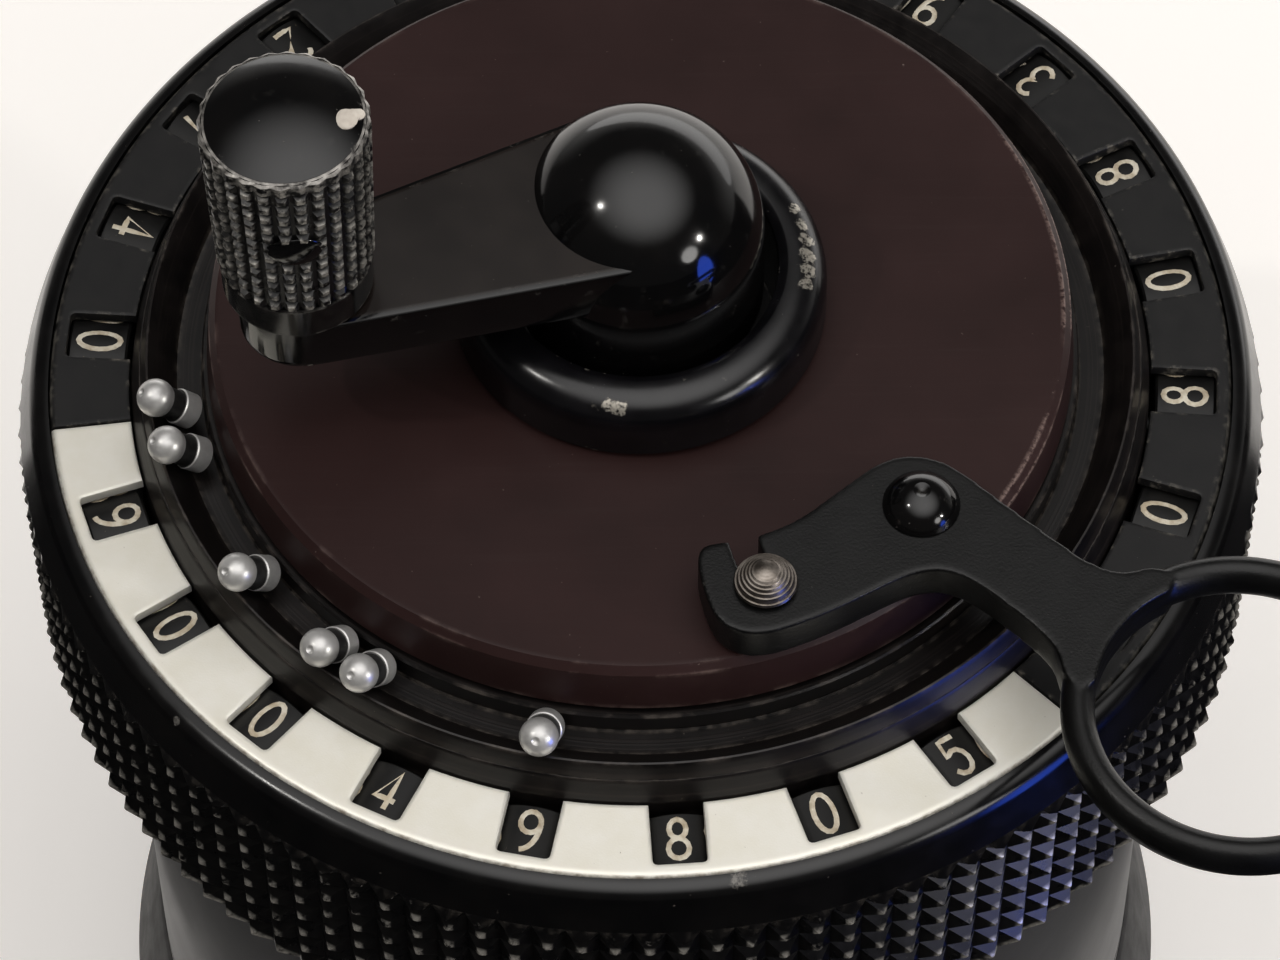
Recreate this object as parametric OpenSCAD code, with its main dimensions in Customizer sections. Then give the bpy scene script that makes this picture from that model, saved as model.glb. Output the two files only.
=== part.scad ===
// Hand-cranked pocket calculator: a round stepped-drum machine with a lifting, turning
// carriage of number dials on top. Millimetres; Z is the crank axis, the table is Z = 0
// and the eight counter windows face -Y. Angles are counted from -Y towards +X.

/* [Case] */
// Overhang of the carriage beyond the case
case_overhang = 4.1; // [3.8:0.1:4.3]
// Wall of the case
case_wall = 1.6; // [1.4:0.1:1.8]
// Height of the case top above the table
case_top = 44.2; // [43.8:0.1:45]
// Flare of the foot beyond the case
foot_flare = 2; // [1.4:0.1:2.8]
// Height of the flared foot
foot_height = 9; // [8.6:0.1:9.4]
// Thickness of the foot's floor
foot_floor = 2.4; // [2.2:0.1:2.8]
// Height of the upright edge at the table
foot_edge = 1.4; // [1:0.1:2]
// Height of the spigot that enters the case
spigot_height = 2; // [1.5:0.1:2]
// Thickness of the spigot
spigot_wall = 2; // [1.6:0.1:2.2]

/* [Carriage] */
// Radius over the knurl tips
knurl_radius = 32.5; // [29:0.1:36]
// Depth of the knurl
knurl_depth = 0.8; // [0.6:0.1:0.9]
// Number of knurl columns
knurl_count = 120; // [100:2:132]
// Height of the smooth rim above the knurl
rim_height = 2.7; // [2.4:0.1:3]
// Height from the carriage's underside to the register faces
carriage_height = 15.5; // [15.3:0.1:16]
// Gap between the case and the carriage
carriage_gap = 0.3; // [0.25:0.05:0.5]
// Step from the knurl tips in to the rim
rim_step = 0.5; // [0.3:0.1:0.7]
// Rounding of the rim
rim_round = 1.4; // [1.2:0.1:1.5]
// Width of the register faces
face_width = 4.25; // [4.15:0.05:4.35]
// Thickness of the register faces
face_thick = 1.2; // [1.1:0.1:1.4]
// Half angle of the light counter face
counter_half_angle = 63.75; // [62.5:0.25:65]
// Width of a window
window_width = 2.7; // [2.5:0.1:2.9]
// Strip of the face outside a window
window_margin = 0.85; // [0.7:0.05:1]
// Angle between neighbouring dials
dial_pitch = 15; // [14.9:0.05:15]
// Number of counter dials
counter_count = 8; // [8:1:8]
// Number of result dials
result_count = 15; // [15:1:15]
// Radius of a number dial
dial_radius = 3.2; // [3.05:0.05:3.25]
// Depth of the dial under the face
dial_drop = 0.4; // [0.35:0.05:0.6]
// Radius of a dial's axle
dial_axle_radius = 0.8; // [0.7:0.05:1]
// Length of a dial's axle
dial_axle_length = 3.4; // [2.8:0.1:3.6]
// Height of the lip of the marker groove over the faces
lip_rise = 2.2; // [2.1:0.05:2.3]
// Run of the slope from the faces in to the groove's lip
lip_run = 0.95; // [0.75:0.05:1.05]
// Height of the groove's floor over the faces
groove_rise = 0.6; // [0.4:0.05:0.7]
// Height of the carriage's lift
carriage_lift = 2.5; // [2:0.1:2.7]

/* [Decimal markers] */
// Angles of the six markers
marker_angles = [-61.2, -54.4, -34.7, -20.6, -14.9, 7.3];
// Radius of a marker's ball
ball_radius = 1; // [0.9:0.05:1.05]
// Distance of the ball inside the groove's lip
ball_inset = 0.4; // [0.3:0.05:0.45]
// Height of the ball over the faces
ball_rise = 3.35; // [3.3:0.05:3.5]
// Radius of the marker's stem
stem_radius = 0.8; // [0.7:0.05:0.85]
// Length of the marker from the ball to its foot
stem_length = 2.5; // [2.2:0.1:2.55]
// Slope of the marker
marker_tilt = 45; // [43:0.5:47]

/* [Clearing plate and lever] */
// Width from the groove's lip in to the clearing plate
groove_width = 3.4; // [3.3:0.1:3.8]
// Height of the clearing plate's top over the faces
plate_rise = 5.3; // [5.2:0.1:5.8]
// Widening of the plate's skirt
skirt_flare = 0.25; // [0.1:0.05:0.3]
// Distance of the rivet inside the plate's edge
rivet_inset = 2.3; // [2.1:0.1:2.7]
// Angle of the rivet
rivet_angle = 63.5; // [60:0.5:67]
// Radius of the rivet's shank
rivet_radius = 1.2; // [1:0.1:1.4]
// Radius of the rivet's head
rivet_head_radius = 1.9; // [1.8:0.1:2.2]
// Height of the rivet's head
rivet_head_height = 1.2; // [1:0.1:1.4]
// Radius of the stud's neck
stud_radius = 0.6; // [0.5:0.05:0.65]
// Radius of the stud's head
stud_head_radius = 1.55; // [1.4:0.05:1.7]
// Height of the stud's head
stud_head_height = 1.1; // [0.9:0.1:1.3]
// Distance from the rivet to the stud
stud_reach = 9; // [8.7:0.1:9.3]
// Direction of the stud in the lever's own frame
stud_direction = -112.4; // [-115:0.2:-110]
// Thickness of the lever
lever_thick = 2.3; // [2:0.1:2.5]
// Distance from the rivet to the middle of the finger ring
finger_reach = 19; // [18.6:0.1:19.4]
// Outer radius of the finger ring
finger_outer = 8.8; // [8.6:0.1:9]
// Inner radius of the finger ring
finger_inner = 7.1; // [6.9:0.1:7.3]
// Turn of the lever's long side from the crank axis direction
lever_turn = 8.5; // [6:0.5:11]
// Clearance of the slot around the stud
slot_gap = 0.1; // [0.05:0.01:0.15]

/* [Crank] */
// Length of the crank from axis to knob
crank_length = 17.6; // [17:0.1:18.4]
// Angle of the crank at rest
crank_angle = -52.5; // [-60:0.5:-45]
// Radius of the crank's hub and dome
hub_radius = 6.3; // [6:0.1:6.4]
// Half width of the arm at the hub
arm_root_radius = 5.1; // [4.7:0.05:5.15]
// Radius of the arm at the knob
arm_end_radius = 3.1; // [2.7:0.1:3.4]
// Thickness of the arm
arm_thick = 3.2; // [3:0.1:3.5]
// Height of the arm's underside over the clearing plate
arm_rise = 7; // [6.9:0.1:7.4]
// Drop of the dome's centre below the arm's underside
dome_drop = 0.4; // [0:0.1:0.6]
// Depth of the hub below the arm
hub_depth = 5.5; // [5.2:0.1:5.6]
// Radius of the knob at its foot
knob_foot_radius = 3.85; // [3.7:0.05:3.9]
// Radius of the knob at its top
knob_top_radius = 4.1; // [3.95:0.05:4.2]
// Height of the knob's straight part
knob_height = 12.7; // [12:0.1:13]
// Height of the knob's domed top
knob_dome = 1.5; // [1.2:0.1:1.8]
// Radius of the knob's pin
knob_pin_radius = 1.5; // [1.2:0.1:1.8]
// Length of the knob's pin
knob_pin_length = 10.5; // [9:0.1:11]
// Radius of the main shaft
shaft_radius = 2.5; // [2.3:0.05:2.7]
// Length of the shaft's end inside the hub
shaft_entry = 4; // [3:0.1:5]
// Height of the crank's lift
crank_lift = 6; // [5:0.1:6]
// Outer radius of the collar around the hub
collar_radius = 9.5; // [9.3:0.1:9.8]
// Height of the collar over the clearing plate
collar_rise = 4; // [3.8:0.1:4.2]
// Rounding of the collar's outer edge
collar_round = 1.7; // [1.4:0.1:1.9]
// Gap between the hub and the collar
collar_gap = 0.7; // [0.6:0.1:0.8]
// Radius of the carriage sleeve inside its guide
sleeve_radius = 4.5; // [4.2:0.1:4.8]
// Radius of the sleeve's neck under the collar
neck_radius = 8.2; // [8.1:0.1:8.4]
// Room under the hub when the carriage is lifted
hub_room = 1.2; // [1:0.1:1.4]

/* [Setting mechanism] */
// Number of setting slides
setting_count = 11; // [11:1:11]
// Wall left between a slot and the foot's spigot
slot_margin = 1.3; // [1.2:0.1:1.8]
// Depth of a setting knob at nought below the case top
setting_drop = 10.2; // [9.8:0.1:10.6]
// Height of a setting knob
setting_knob_height = 5.4; // [5:0.1:5.6]
// Width of a setting knob
setting_knob_width = 4.2; // [3.8:0.1:4.6]
// Reach of a setting knob out of the case
setting_knob_reach = 3.4; // [3:0.1:3.6]
// Width of a setting knob's stem
setting_stem_width = 2; // [1.8:0.1:2.2]
// Height of a setting knob's stem
setting_stem_height = 3; // [2.6:0.1:3.2]
// Width of the shoe inside the case
shoe_width = 4.6; // [4.2:0.1:4.8]
// Depth of the shoe inside the case
shoe_depth = 1.5; // [1.3:0.1:1.6]
// Depth of the setting figures' windows below the case top
setting_window_drop = 4; // [3.9:0.1:4.2]
// Width of a setting figure's window
setting_window_width = 2.6; // [2.4:0.1:2.8]
// Height of a setting figure's window
setting_window_height = 3; // [2.6:0.1:3.2]
// Distance of the setting shafts inside the case wall
setting_shaft_inset = 3.2; // [3.1:0.1:3.4]
// Radius of a setting shaft
setting_shaft_radius = 0.8; // [0.7:0.05:0.9]
// Radius of a setting figure drum
setting_drum_radius = 2.2; // [2:0.1:2.4]
// Height of a setting figure drum
setting_drum_height = 4; // [3.6:0.1:4]
// Distance of the transmission shafts inside the setting shafts
transmission_inset = 6.6; // [6.4:0.1:6.8]
// Radius of a transmission shaft
transmission_radius = 1; // [0.9:0.05:1.1]
// Gap between neighbouring pinions
pinion_gap = 0.44; // [0.36:0.02:0.6]
// Height of a transmission pinion
pinion_height = 2; // [1.6:0.1:2.1]
// Teeth of a transmission pinion
pinion_teeth = 10; // [8:1:12]
// Gap between the stepped drum and the pinions
drum_gap = 1; // [0.8:0.1:1.4]
// Height of the stepped drum's teeth
drum_tooth = 2.2; // [1.8:0.1:2.4]
// Width of the stepped drum's teeth
drum_tooth_width = 1.1; // [1:0.1:1.4]
// Room above the stepped drum when the crank is lifted
drum_room = 1.2; // [0.9:0.1:1.6]
// Depth of the reversing lever below the case top
reverser_drop = 7.2; // [6.8:0.1:7.6]
// Height of the reversing lever's grip
reverser_height = 4; // [3.6:0.1:4.4]
// Angle of the reversing lever
reverser_angle = 272; // [269:1:276]
// Travel of the reversing lever
reverser_travel = 6; // [5:0.1:6.2]

/* [Frame] */
// Thickness of the frame plates
plate_thick = 2; // [1.8:0.1:2]
// Radius of a frame pillar
pillar_radius = 2; // [1.8:0.1:2.2]
// Distance of the pillars inside the case wall
pillar_inset = 5.8; // [5.4:0.1:6.2]
// Radius of the guide for the carriage sleeve
guide_radius = 7.2; // [6.6:0.1:7.6]
// Height of the guide over the case top
guide_height = 7.6; // [7.2:0.1:7.9]
// Radius of the lower bearing
bearing_radius = 6; // [5.5:0.1:6.4]
// Radius of the lift collar
lift_collar_radius = 5.5; // [5:0.1:6]
// Height of the lift collar
lift_collar_height = 1.9; // [1.7:0.1:2]
// Radius of a base screw's head
screw_head_radius = 1.9; // [1.6:0.1:2]
// Radius of a base screw's shank
screw_radius = 0.9; // [0.8:0.05:1]
// Length of a base screw's shank
screw_length = 5; // [4:0.1:5.6]

/* [Fits] */
// Running clearance of a turning or sliding shaft
run_gap = 0.05; // [0.03:0.01:0.08]
// Gap between neighbouring moving faces
part_gap = 0.3; // [0.25:0.01:0.35]

/* [Hidden] */
$fn = 96;
cut = 1;
rim_radius = knurl_radius - rim_step;
face_outer = rim_radius - rim_round;
face_inner = face_outer - face_width;
window_outer = face_outer - window_margin;
lip_radius = face_inner - lip_run;
ball_distance = lip_radius - ball_inset;
plate_radius = lip_radius - groove_width;
rivet_distance = plate_radius - rivet_inset;
case_radius = knurl_radius - case_overhang;
foot_radius = case_radius + foot_flare;
case_inner = case_radius - case_wall;
spigot_inner = case_inner - spigot_wall;
carriage_bottom = case_top + carriage_gap;
face_top = carriage_bottom + carriage_height;
face_bottom = face_top - face_thick;
lip_top = face_top + lip_rise;
plate_top = face_top + plate_rise;
plate_bottom = lip_top;
deck_top = plate_bottom - part_gap;
skirt_radius = plate_radius + skirt_flare;
groove_inner = skirt_radius + part_gap;
groove_floor = face_top + groove_rise;
knurl_root = knurl_radius - knurl_depth;
knurl_top = face_top - rim_height;
ring_gap = 0.2;
ring_inner = window_outer + part_gap + ring_gap;
dial_level = face_top - dial_drop - dial_radius;
dial_inner = face_inner + part_gap;
dial_width = window_outer - dial_inner;
floor_top = dial_level - dial_radius - 2 * part_gap;
floor_thick = 1.4;
seat_gap = 0.05;
core_hub_wall = 2.4;
core_hub_radius = neck_radius + core_hub_wall;
core_wall = 5.35;
core_wall_inner = face_inner - core_wall;
web_rise = 1.2;
core_web_top = floor_top + web_rise;
setting_shaft_distance = case_inner - setting_shaft_inset;
transmission_distance = setting_shaft_distance - transmission_inset;
pinion_radius = transmission_distance * sin(dial_pitch / 2) - pinion_gap / 2;
pillar_distance = case_inner - pillar_inset;
flange_room = 2.2;
flange_inner = transmission_distance + pinion_radius + flange_room;
flange_thick = 1.4;
collar_top = plate_top + collar_rise;
counterbore_radius = hub_radius + collar_gap;
guide_top = case_top + guide_height;
sleeve_shoulder = guide_top + part_gap;
arm_bottom = plate_top + arm_rise;
arm_top = arm_bottom + arm_thick;
dome_level = arm_bottom - dome_drop;
hub_bottom = arm_bottom - hub_depth;
counterbore_floor = hub_bottom - carriage_lift - hub_room;
knob_bottom = arm_top + part_gap;
upper_plate_bottom = case_top - plate_thick;
lower_plate_bottom = foot_height;
lower_plate_top = foot_height + plate_thick;
shaft_bottom = foot_floor / 2 + part_gap;
shaft_top = hub_bottom + shaft_entry;
lift_collar_bottom = lower_plate_top + part_gap;
drum_bottom = lift_collar_bottom + lift_collar_height + part_gap;
drum_radius = transmission_distance - pinion_radius - drum_gap - drum_tooth;
drum_height = upper_plate_bottom - crank_lift - drum_room - drum_bottom;
setting_zero = case_top - setting_drop;
setting_window_level = case_top - setting_window_drop;
reverser_level = case_top - reverser_drop;
setting_angles = [for (i = [0:setting_count - 1]) 180 + (i - (setting_count - 1) / 2) * dial_pitch];
counter_angles = [for (i = [0:counter_count - 1]) ((counter_count - 1) / 2 - i) * dial_pitch];
result_angles = [for (i = [0:result_count - 1]) 180 + ((result_count - 1) / 2 - i) * dial_pitch];
pillar_angles = [-84, -28, 28, 84];
slot_gap_width = 0.4;
slot_width = setting_stem_width + slot_gap_width;
slot_low = foot_height + spigot_height + slot_margin;
slot_high = setting_zero + setting_stem_height / 2 + slot_gap_width;
shoe_gap = 0.4;
shoe_margin = 0.5;
shoe_outer = case_inner - shoe_gap;
lever_bottom = plate_top + part_gap;
lever_top = lever_bottom + lever_thick;
slot_half = stud_radius + slot_gap;
slot_end = asin(slot_half / stud_reach);
slot_sweep = 40;
smooth_steps = 3;
drum_shoulder = 0.8;
tooth_count = 9;
tooth_pitch = 13;
outer_units = 19;
lever_unit = finger_reach / outer_units;

// Lever outline in its own frame: rivet at the origin, finger ring 19 units along +X.
lever_points = [
    [-5.5, -6.3], [-4.4, -4.2], [-3.7, -1.4], [-3.1, 0.8], [-2.1, 2.1], [-0.6, 2.75],
    [1.2, 2.75], [3.2, 2.55], [6.2, 2.3], [8.4, 2.2], [10, 2.6], [11.4, 3.9], [12.6, 3.2],
    [12.6, -3.2], [11.4, -3.9], [10, -2.9], [8.4, -2.45], [6.4, -2.2], [4.6, -2.1],
    [3, -2.5], [1.9, -3.6], [1.1, -5.2], [0.3, -7], [-0.7, -8.9], [-1.8, -10.5],
    [-3, -11.25], [-4.3, -11.2], [-5.6, -10.4], [-6.8, -9.3], [-7.2, -8.5], [-6.9, -7.9]];

function cut_point(p, q, r, s, t) =
    0.5 * (2 * q + (r - p) * t + (2 * p - 5 * q + 4 * r - s) * t * t
    + (3 * q - p - 3 * r + s) * t * t * t);
function smooth(list, n) = let (m = len(list)) [
    for (i = [0:m - 1], j = [0:n - 1])
        cut_point(list[(i + m - 1) % m], list[i], list[(i + 1) % m], list[(i + 2) % m], j / n)];
function star(r, depth, n) = [
    for (i = [0:n - 1], j = [0:1])
        let (a = (i + j / 2) * 360 / n, q = r - j * depth) [q * cos(a), q * sin(a)]];
function tangent_angle(r1, r2, d) = acos((r1 - r2) / d);

module at(angle) rotate([0, 0, angle]) children();
module radial(angle, distance, level)
    at(angle) translate([0, -distance, level]) children();
// A cylinder that runs inwards along a radius from the given distance.
module spoke(angle, distance, level, r, length)
    radial(angle, distance, level) rotate([-90, 0, 0]) cylinder(h = length, r = r);
// An upright box centred on a radius between two distances.
module radial_box(angle, near, far, width, low, high)
    at(angle) translate([-width / 2, -far, low]) cube([width, far - near, high - low]);
module tube(outer, inner, low, high)
    difference() {
        translate([0, 0, low]) cylinder(h = high - low, r = outer);
        translate([0, 0, low - cut]) cylinder(h = high - low + 2 * cut, r = inner);
    }

module body_shell() {
    color([0.42, 0.42, 0.43]) difference() {
        tube(case_radius, case_inner, foot_height, case_top);
        for (a = setting_angles) {
            radial_box(a, case_inner - cut, case_radius + cut, slot_width, slot_low, slot_high);
            radial_box(a, case_inner - cut, case_radius + cut, setting_window_width,
                setting_window_level - setting_window_height / 2,
                setting_window_level + setting_window_height / 2);
        }
        radial_box(reverser_angle, case_inner - cut, case_radius + cut, slot_width,
            reverser_level - reverser_travel - setting_stem_height / 2 - slot_gap_width,
            reverser_level + setting_stem_height / 2 + slot_gap_width);
    }
}

module base_cap() {
    color([0.06, 0.06, 0.06]) difference() {
        union() {
            rotate_extrude() polygon([
                [0, 0], [foot_radius, 0], [foot_radius, foot_edge],
                [case_radius, foot_height], [case_inner, foot_height],
                [case_inner, foot_height + spigot_height],
                [spigot_inner, foot_height + spigot_height],
                [spigot_inner, foot_floor], [0, foot_floor]]);
            translate([0, 0, foot_floor / 2])
                cylinder(h = lower_plate_top - foot_floor / 2, r = bearing_radius);
        }
        translate([0, 0, foot_floor / 2])
            cylinder(h = lower_plate_top + cut, r = shaft_radius + run_gap);
        for (a = pillar_angles) radial(a, pillar_distance, 0) {
            translate([0, 0, -cut]) cylinder(h = foot_floor + 2 * cut, r = screw_radius);
            translate([0, 0, -cut]) cylinder(h = foot_floor / 2 + cut, r = screw_head_radius);
        }
    }
}

module base_screws() {
    color([0.75, 0.75, 0.73]) for (a = pillar_angles) radial(a, pillar_distance, 0)
        difference() {
            union() {
                translate([0, 0, part_gap])
                    cylinder(h = foot_floor / 2 - part_gap, r = screw_head_radius);
                translate([0, 0, part_gap])
                    cylinder(h = foot_floor / 2 + screw_length, r = screw_radius);
            }
            translate([-screw_head_radius, -part_gap, part_gap - cut])
                cube([2 * screw_head_radius, 2 * part_gap, cut + part_gap]);
        }
}

module mechanism_frame() {
    color([0.72, 0.68, 0.55]) difference() {
        union() {
            translate([0, 0, lower_plate_bottom]) cylinder(h = plate_thick, r = spigot_inner);
            translate([0, 0, upper_plate_bottom]) cylinder(h = plate_thick, r = case_inner);
            translate([0, 0, upper_plate_bottom])
                cylinder(h = guide_top - upper_plate_bottom, r = guide_radius);
            for (a = pillar_angles) radial(a, pillar_distance, foot_floor)
                cylinder(h = case_top - foot_floor - plate_thick / 2, r = pillar_radius);
        }
        translate([0, 0, lower_plate_bottom - cut])
            cylinder(h = plate_thick + 2 * cut, r = bearing_radius);
        translate([0, 0, upper_plate_bottom - cut])
            cylinder(h = guide_top, r = sleeve_radius + run_gap);
        for (a = pillar_angles) radial(a, pillar_distance, foot_floor - cut)
            cylinder(h = screw_length + part_gap - foot_floor / 2 + cut, r = screw_radius);
        for (a = setting_angles) radial(a, transmission_distance, upper_plate_bottom - cut)
            cylinder(h = plate_thick + 2 * cut, r = transmission_radius);
    }
}

module setting_shafts() {
    color([0.8, 0.8, 0.78]) for (a = setting_angles) {
        radial(a, setting_shaft_distance, lower_plate_top)
            cylinder(h = upper_plate_bottom - lower_plate_top, r = setting_shaft_radius);
        radial(a, setting_shaft_distance, setting_window_level - setting_drum_height / 2)
            cylinder(h = setting_drum_height, r = setting_drum_radius);
    }
}

module transmission_shafts() {
    color([0.78, 0.74, 0.6]) for (a = setting_angles) radial(a, transmission_distance, 0) {
        translate([0, 0, lower_plate_top])
            cylinder(h = case_top + part_gap + pinion_height - lower_plate_top,
                r = transmission_radius);
        for (low = [setting_zero - pinion_height / 2, case_top + part_gap])
            translate([0, 0, low]) linear_extrude(pinion_height)
                polygon(star(pinion_radius, pinion_radius / 4, pinion_teeth));
    }
}

// Grip outside the case, stem through the slot and shoe inside.
module slide_grip(angle, level, grip) {
    grip_foot = case_radius + part_gap;
    grip_tip = case_radius + setting_knob_reach;
    radial(angle, 0, level) rotate([90, 0, 90])
        translate([0, 0, -setting_knob_width / 2]) linear_extrude(setting_knob_width)
            polygon([[-grip_foot, -grip / 2], [-grip_foot - cut, -grip / 2],
                [-grip_tip, -grip / 6], [-grip_tip, grip / 6],
                [-grip_foot - cut, grip / 2], [-grip_foot, grip / 2]]);
    radial_box(angle, shoe_outer - cut / 2, grip_foot + cut / 2, setting_stem_width,
        level - setting_stem_height / 2, level + setting_stem_height / 2);
    radial_box(angle, shoe_outer - shoe_depth, shoe_outer, shoe_width,
        level - setting_stem_height / 2 - shoe_margin,
        level + setting_stem_height / 2 + shoe_margin);
}

module setting_knob(i) color([0.08, 0.08, 0.08])
    slide_grip(setting_angles[i - 1], setting_zero, setting_knob_height);
module reversing_lever() color([0.75, 0.75, 0.73])
    slide_grip(reverser_angle, reverser_level, reverser_height);

module lift_collar() color([0.7, 0.7, 0.68])
    tube(lift_collar_radius, shaft_radius + run_gap, lift_collar_bottom,
        lift_collar_bottom + lift_collar_height);

module main_shaft() color([0.75, 0.75, 0.74]) translate([0, 0, shaft_bottom])
    cylinder(h = shaft_top - shaft_bottom, r = shaft_radius);

// Nine teeth of growing length, so that the height chooses how many of them act.
module step_drum() {
    color([0.8, 0.72, 0.45]) difference() {
        union() {
            translate([0, 0, drum_bottom]) cylinder(h = drum_height, r = drum_radius);
            for (side = [0, 1], i = [1:tooth_count]) at(side * 180 + i * tooth_pitch)
                translate([-drum_tooth_width / 2, -drum_radius - drum_tooth,
                        drum_bottom + drum_shoulder])
                    cube([drum_tooth_width, drum_tooth + cut,
                        (drum_height - drum_shoulder) * (side == 0 ? i : tooth_count + 1 - i)
                            / (tooth_count + 1)]);
        }
        translate([0, 0, drum_bottom - cut]) cylinder(h = drum_height + 2 * cut, r = shaft_radius);
    }
}

module arm_plan() {
    t = tangent_angle(arm_root_radius, arm_end_radius, crank_length);
    polygon([
        [arm_root_radius * sin(t), -arm_root_radius * cos(t)],
        [arm_end_radius * sin(t), -crank_length - arm_end_radius * cos(t)],
        [-arm_end_radius * sin(t), -crank_length - arm_end_radius * cos(t)],
        [-arm_root_radius * sin(t), -arm_root_radius * cos(t)]]);
    circle(r = arm_root_radius);
    translate([0, -crank_length]) circle(r = arm_end_radius);
}

module crank_arm() {
    color([0.05, 0.05, 0.05]) difference() {
        union() {
            at(crank_angle) translate([0, 0, arm_bottom]) linear_extrude(arm_thick) arm_plan();
            translate([0, 0, hub_bottom])
                cylinder(h = dome_level - hub_bottom, r = hub_radius);
            translate([0, 0, dome_level]) sphere(r = hub_radius);
            radial(crank_angle, crank_length, arm_top - cut)
                cylinder(h = knob_pin_length + cut, r = knob_pin_radius);
        }
        translate([0, 0, dome_level - 2 * hub_radius])
            cylinder(h = hub_bottom - dome_level + 2 * hub_radius, r = 2 * hub_radius);
        translate([0, 0, hub_bottom - cut]) cylinder(h = shaft_entry + cut, r = shaft_radius);
    }
}

module crank_knob() {
    cap = (knob_top_radius * knob_top_radius + knob_dome * knob_dome) / (2 * knob_dome);
    color([0.05, 0.05, 0.05]) radial(crank_angle, crank_length, knob_bottom) difference() {
        union() {
            cylinder(h = knob_height, r1 = knob_foot_radius, r2 = knob_top_radius);
            translate([0, 0, knob_height]) intersection() {
                translate([0, 0, knob_dome - cap]) sphere(r = cap);
                cylinder(h = knob_dome, r = knob_top_radius);
            }
        }
        translate([0, 0, -cut])
            cylinder(h = knob_pin_length + cut, r = knob_pin_radius + run_gap);
    }
}

module carriage_sleeve() {
    color([0.06, 0.06, 0.06]) rotate_extrude() difference() {
        union() {
            polygon([[0, upper_plate_bottom], [sleeve_radius, upper_plate_bottom],
                [sleeve_radius, sleeve_shoulder], [neck_radius, sleeve_shoulder],
                [neck_radius, plate_top + part_gap], [collar_radius, plate_top + part_gap],
                [collar_radius, collar_top - collar_round],
                [collar_radius - collar_round, collar_top], [0, collar_top]]);
            translate([collar_radius - collar_round, collar_top - collar_round])
                circle(r = collar_round);
        }
        translate([-cut, upper_plate_bottom - cut])
            square([shaft_radius + run_gap + cut, collar_top]);
        translate([-cut, counterbore_floor]) square([counterbore_radius + cut, collar_top]);
    }
}

module knurled_ring() {
    color([0.05, 0.05, 0.05]) {
        difference() {
            union() {
                translate([0, 0, carriage_bottom]) linear_extrude(knurl_top - carriage_bottom)
                    polygon(star(knurl_radius, knurl_depth, knurl_count));
                rotate_extrude() {
                    translate([face_outer - cut, knurl_top - cut])
                        square([rim_round + cut, face_top - rim_round - knurl_top + cut]);
                    intersection() {
                        translate([face_outer, face_top - rim_round]) circle(r = rim_round);
                        translate([face_outer, face_top - rim_round])
                            square([rim_round, rim_round]);
                    }
                    translate([face_outer - cut, face_top - rim_round - cut])
                        square([cut, rim_round + cut]);
                }
            }
            translate([0, 0, carriage_bottom + flange_thick])
                cylinder(h = carriage_height, r = ring_inner);
            translate([0, 0, face_bottom]) cylinder(h = face_thick + cut, r = face_outer);
            translate([0, 0, carriage_bottom - cut])
                cylinder(h = carriage_height, r = flange_inner);
        }
    }
}

// A register face over the given span, with a window and a dial pocket at each angle.
module register_face(from, to, angles) {
    difference() {
        rotate([0, 0, from - 90]) rotate_extrude(angle = to - from)
            translate([face_inner, face_bottom]) square([face_outer - face_inner, face_thick]);
        for (a = angles) {
            radial_box(a, face_inner - cut, window_outer, window_width, face_bottom - cut,
                face_top + cut);
            spoke(a, window_outer + part_gap, dial_level, dial_radius + part_gap,
                window_outer + part_gap - face_inner + cut);
        }
    }
}
module counter_face() color([0.86, 0.86, 0.82])
    register_face(-counter_half_angle, counter_half_angle, counter_angles);
module result_face() color([0.07, 0.07, 0.07])
    register_face(counter_half_angle, 360 - counter_half_angle, result_angles);

module marker_ring() {
    color([0.09, 0.08, 0.075]) difference() {
        rotate_extrude() {
            polygon([[core_wall_inner, floor_top - floor_thick],
                [ring_inner, floor_top - floor_thick], [ring_inner, floor_top],
                [face_inner - seat_gap, floor_top], [face_inner - seat_gap, face_bottom - cut],
                [face_inner, face_bottom - cut], [face_inner, face_top],
                [lip_radius, lip_top],
                [lip_radius - lip_rise + groove_rise, groove_floor],
                [groove_inner, groove_floor], [groove_inner, deck_top],
                [core_wall_inner, deck_top]]);
            translate([neck_radius + run_gap, floor_top - floor_thick])
                square([core_wall_inner - neck_radius - run_gap + cut, core_web_top - floor_top
                    + floor_thick]);
            translate([neck_radius + run_gap, floor_top - floor_thick])
                square([core_hub_radius - neck_radius, deck_top - floor_top + floor_thick]);
        }
        for (a = concat(counter_angles, result_angles))
            spoke(a, face_inner + cut, dial_level, dial_axle_radius + run_gap,
                dial_inner - face_inner + dial_axle_length + part_gap + cut);
    }
}

// The dial carries its axle on the side of the crank axis.
module dial(angle) color([0.06, 0.06, 0.06]) {
    spoke(angle, window_outer, dial_level, dial_radius, dial_width);
    spoke(angle, window_outer - dial_width + cut, dial_level, dial_axle_radius,
        dial_axle_length + cut - part_gap);
}
module counter_dial(i) dial(counter_angles[i - 1]);
module result_dial(i) dial(result_angles[i - 1]);

module decimal_marker(i) color([0.85, 0.84, 0.82])
    radial(marker_angles[i - 1], ball_distance, face_top + ball_rise)
        rotate([90 - marker_tilt, 0, 0]) {
            sphere(r = ball_radius);
            translate([0, 0, -stem_length]) cylinder(h = stem_length, r = stem_radius);
        }

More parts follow.
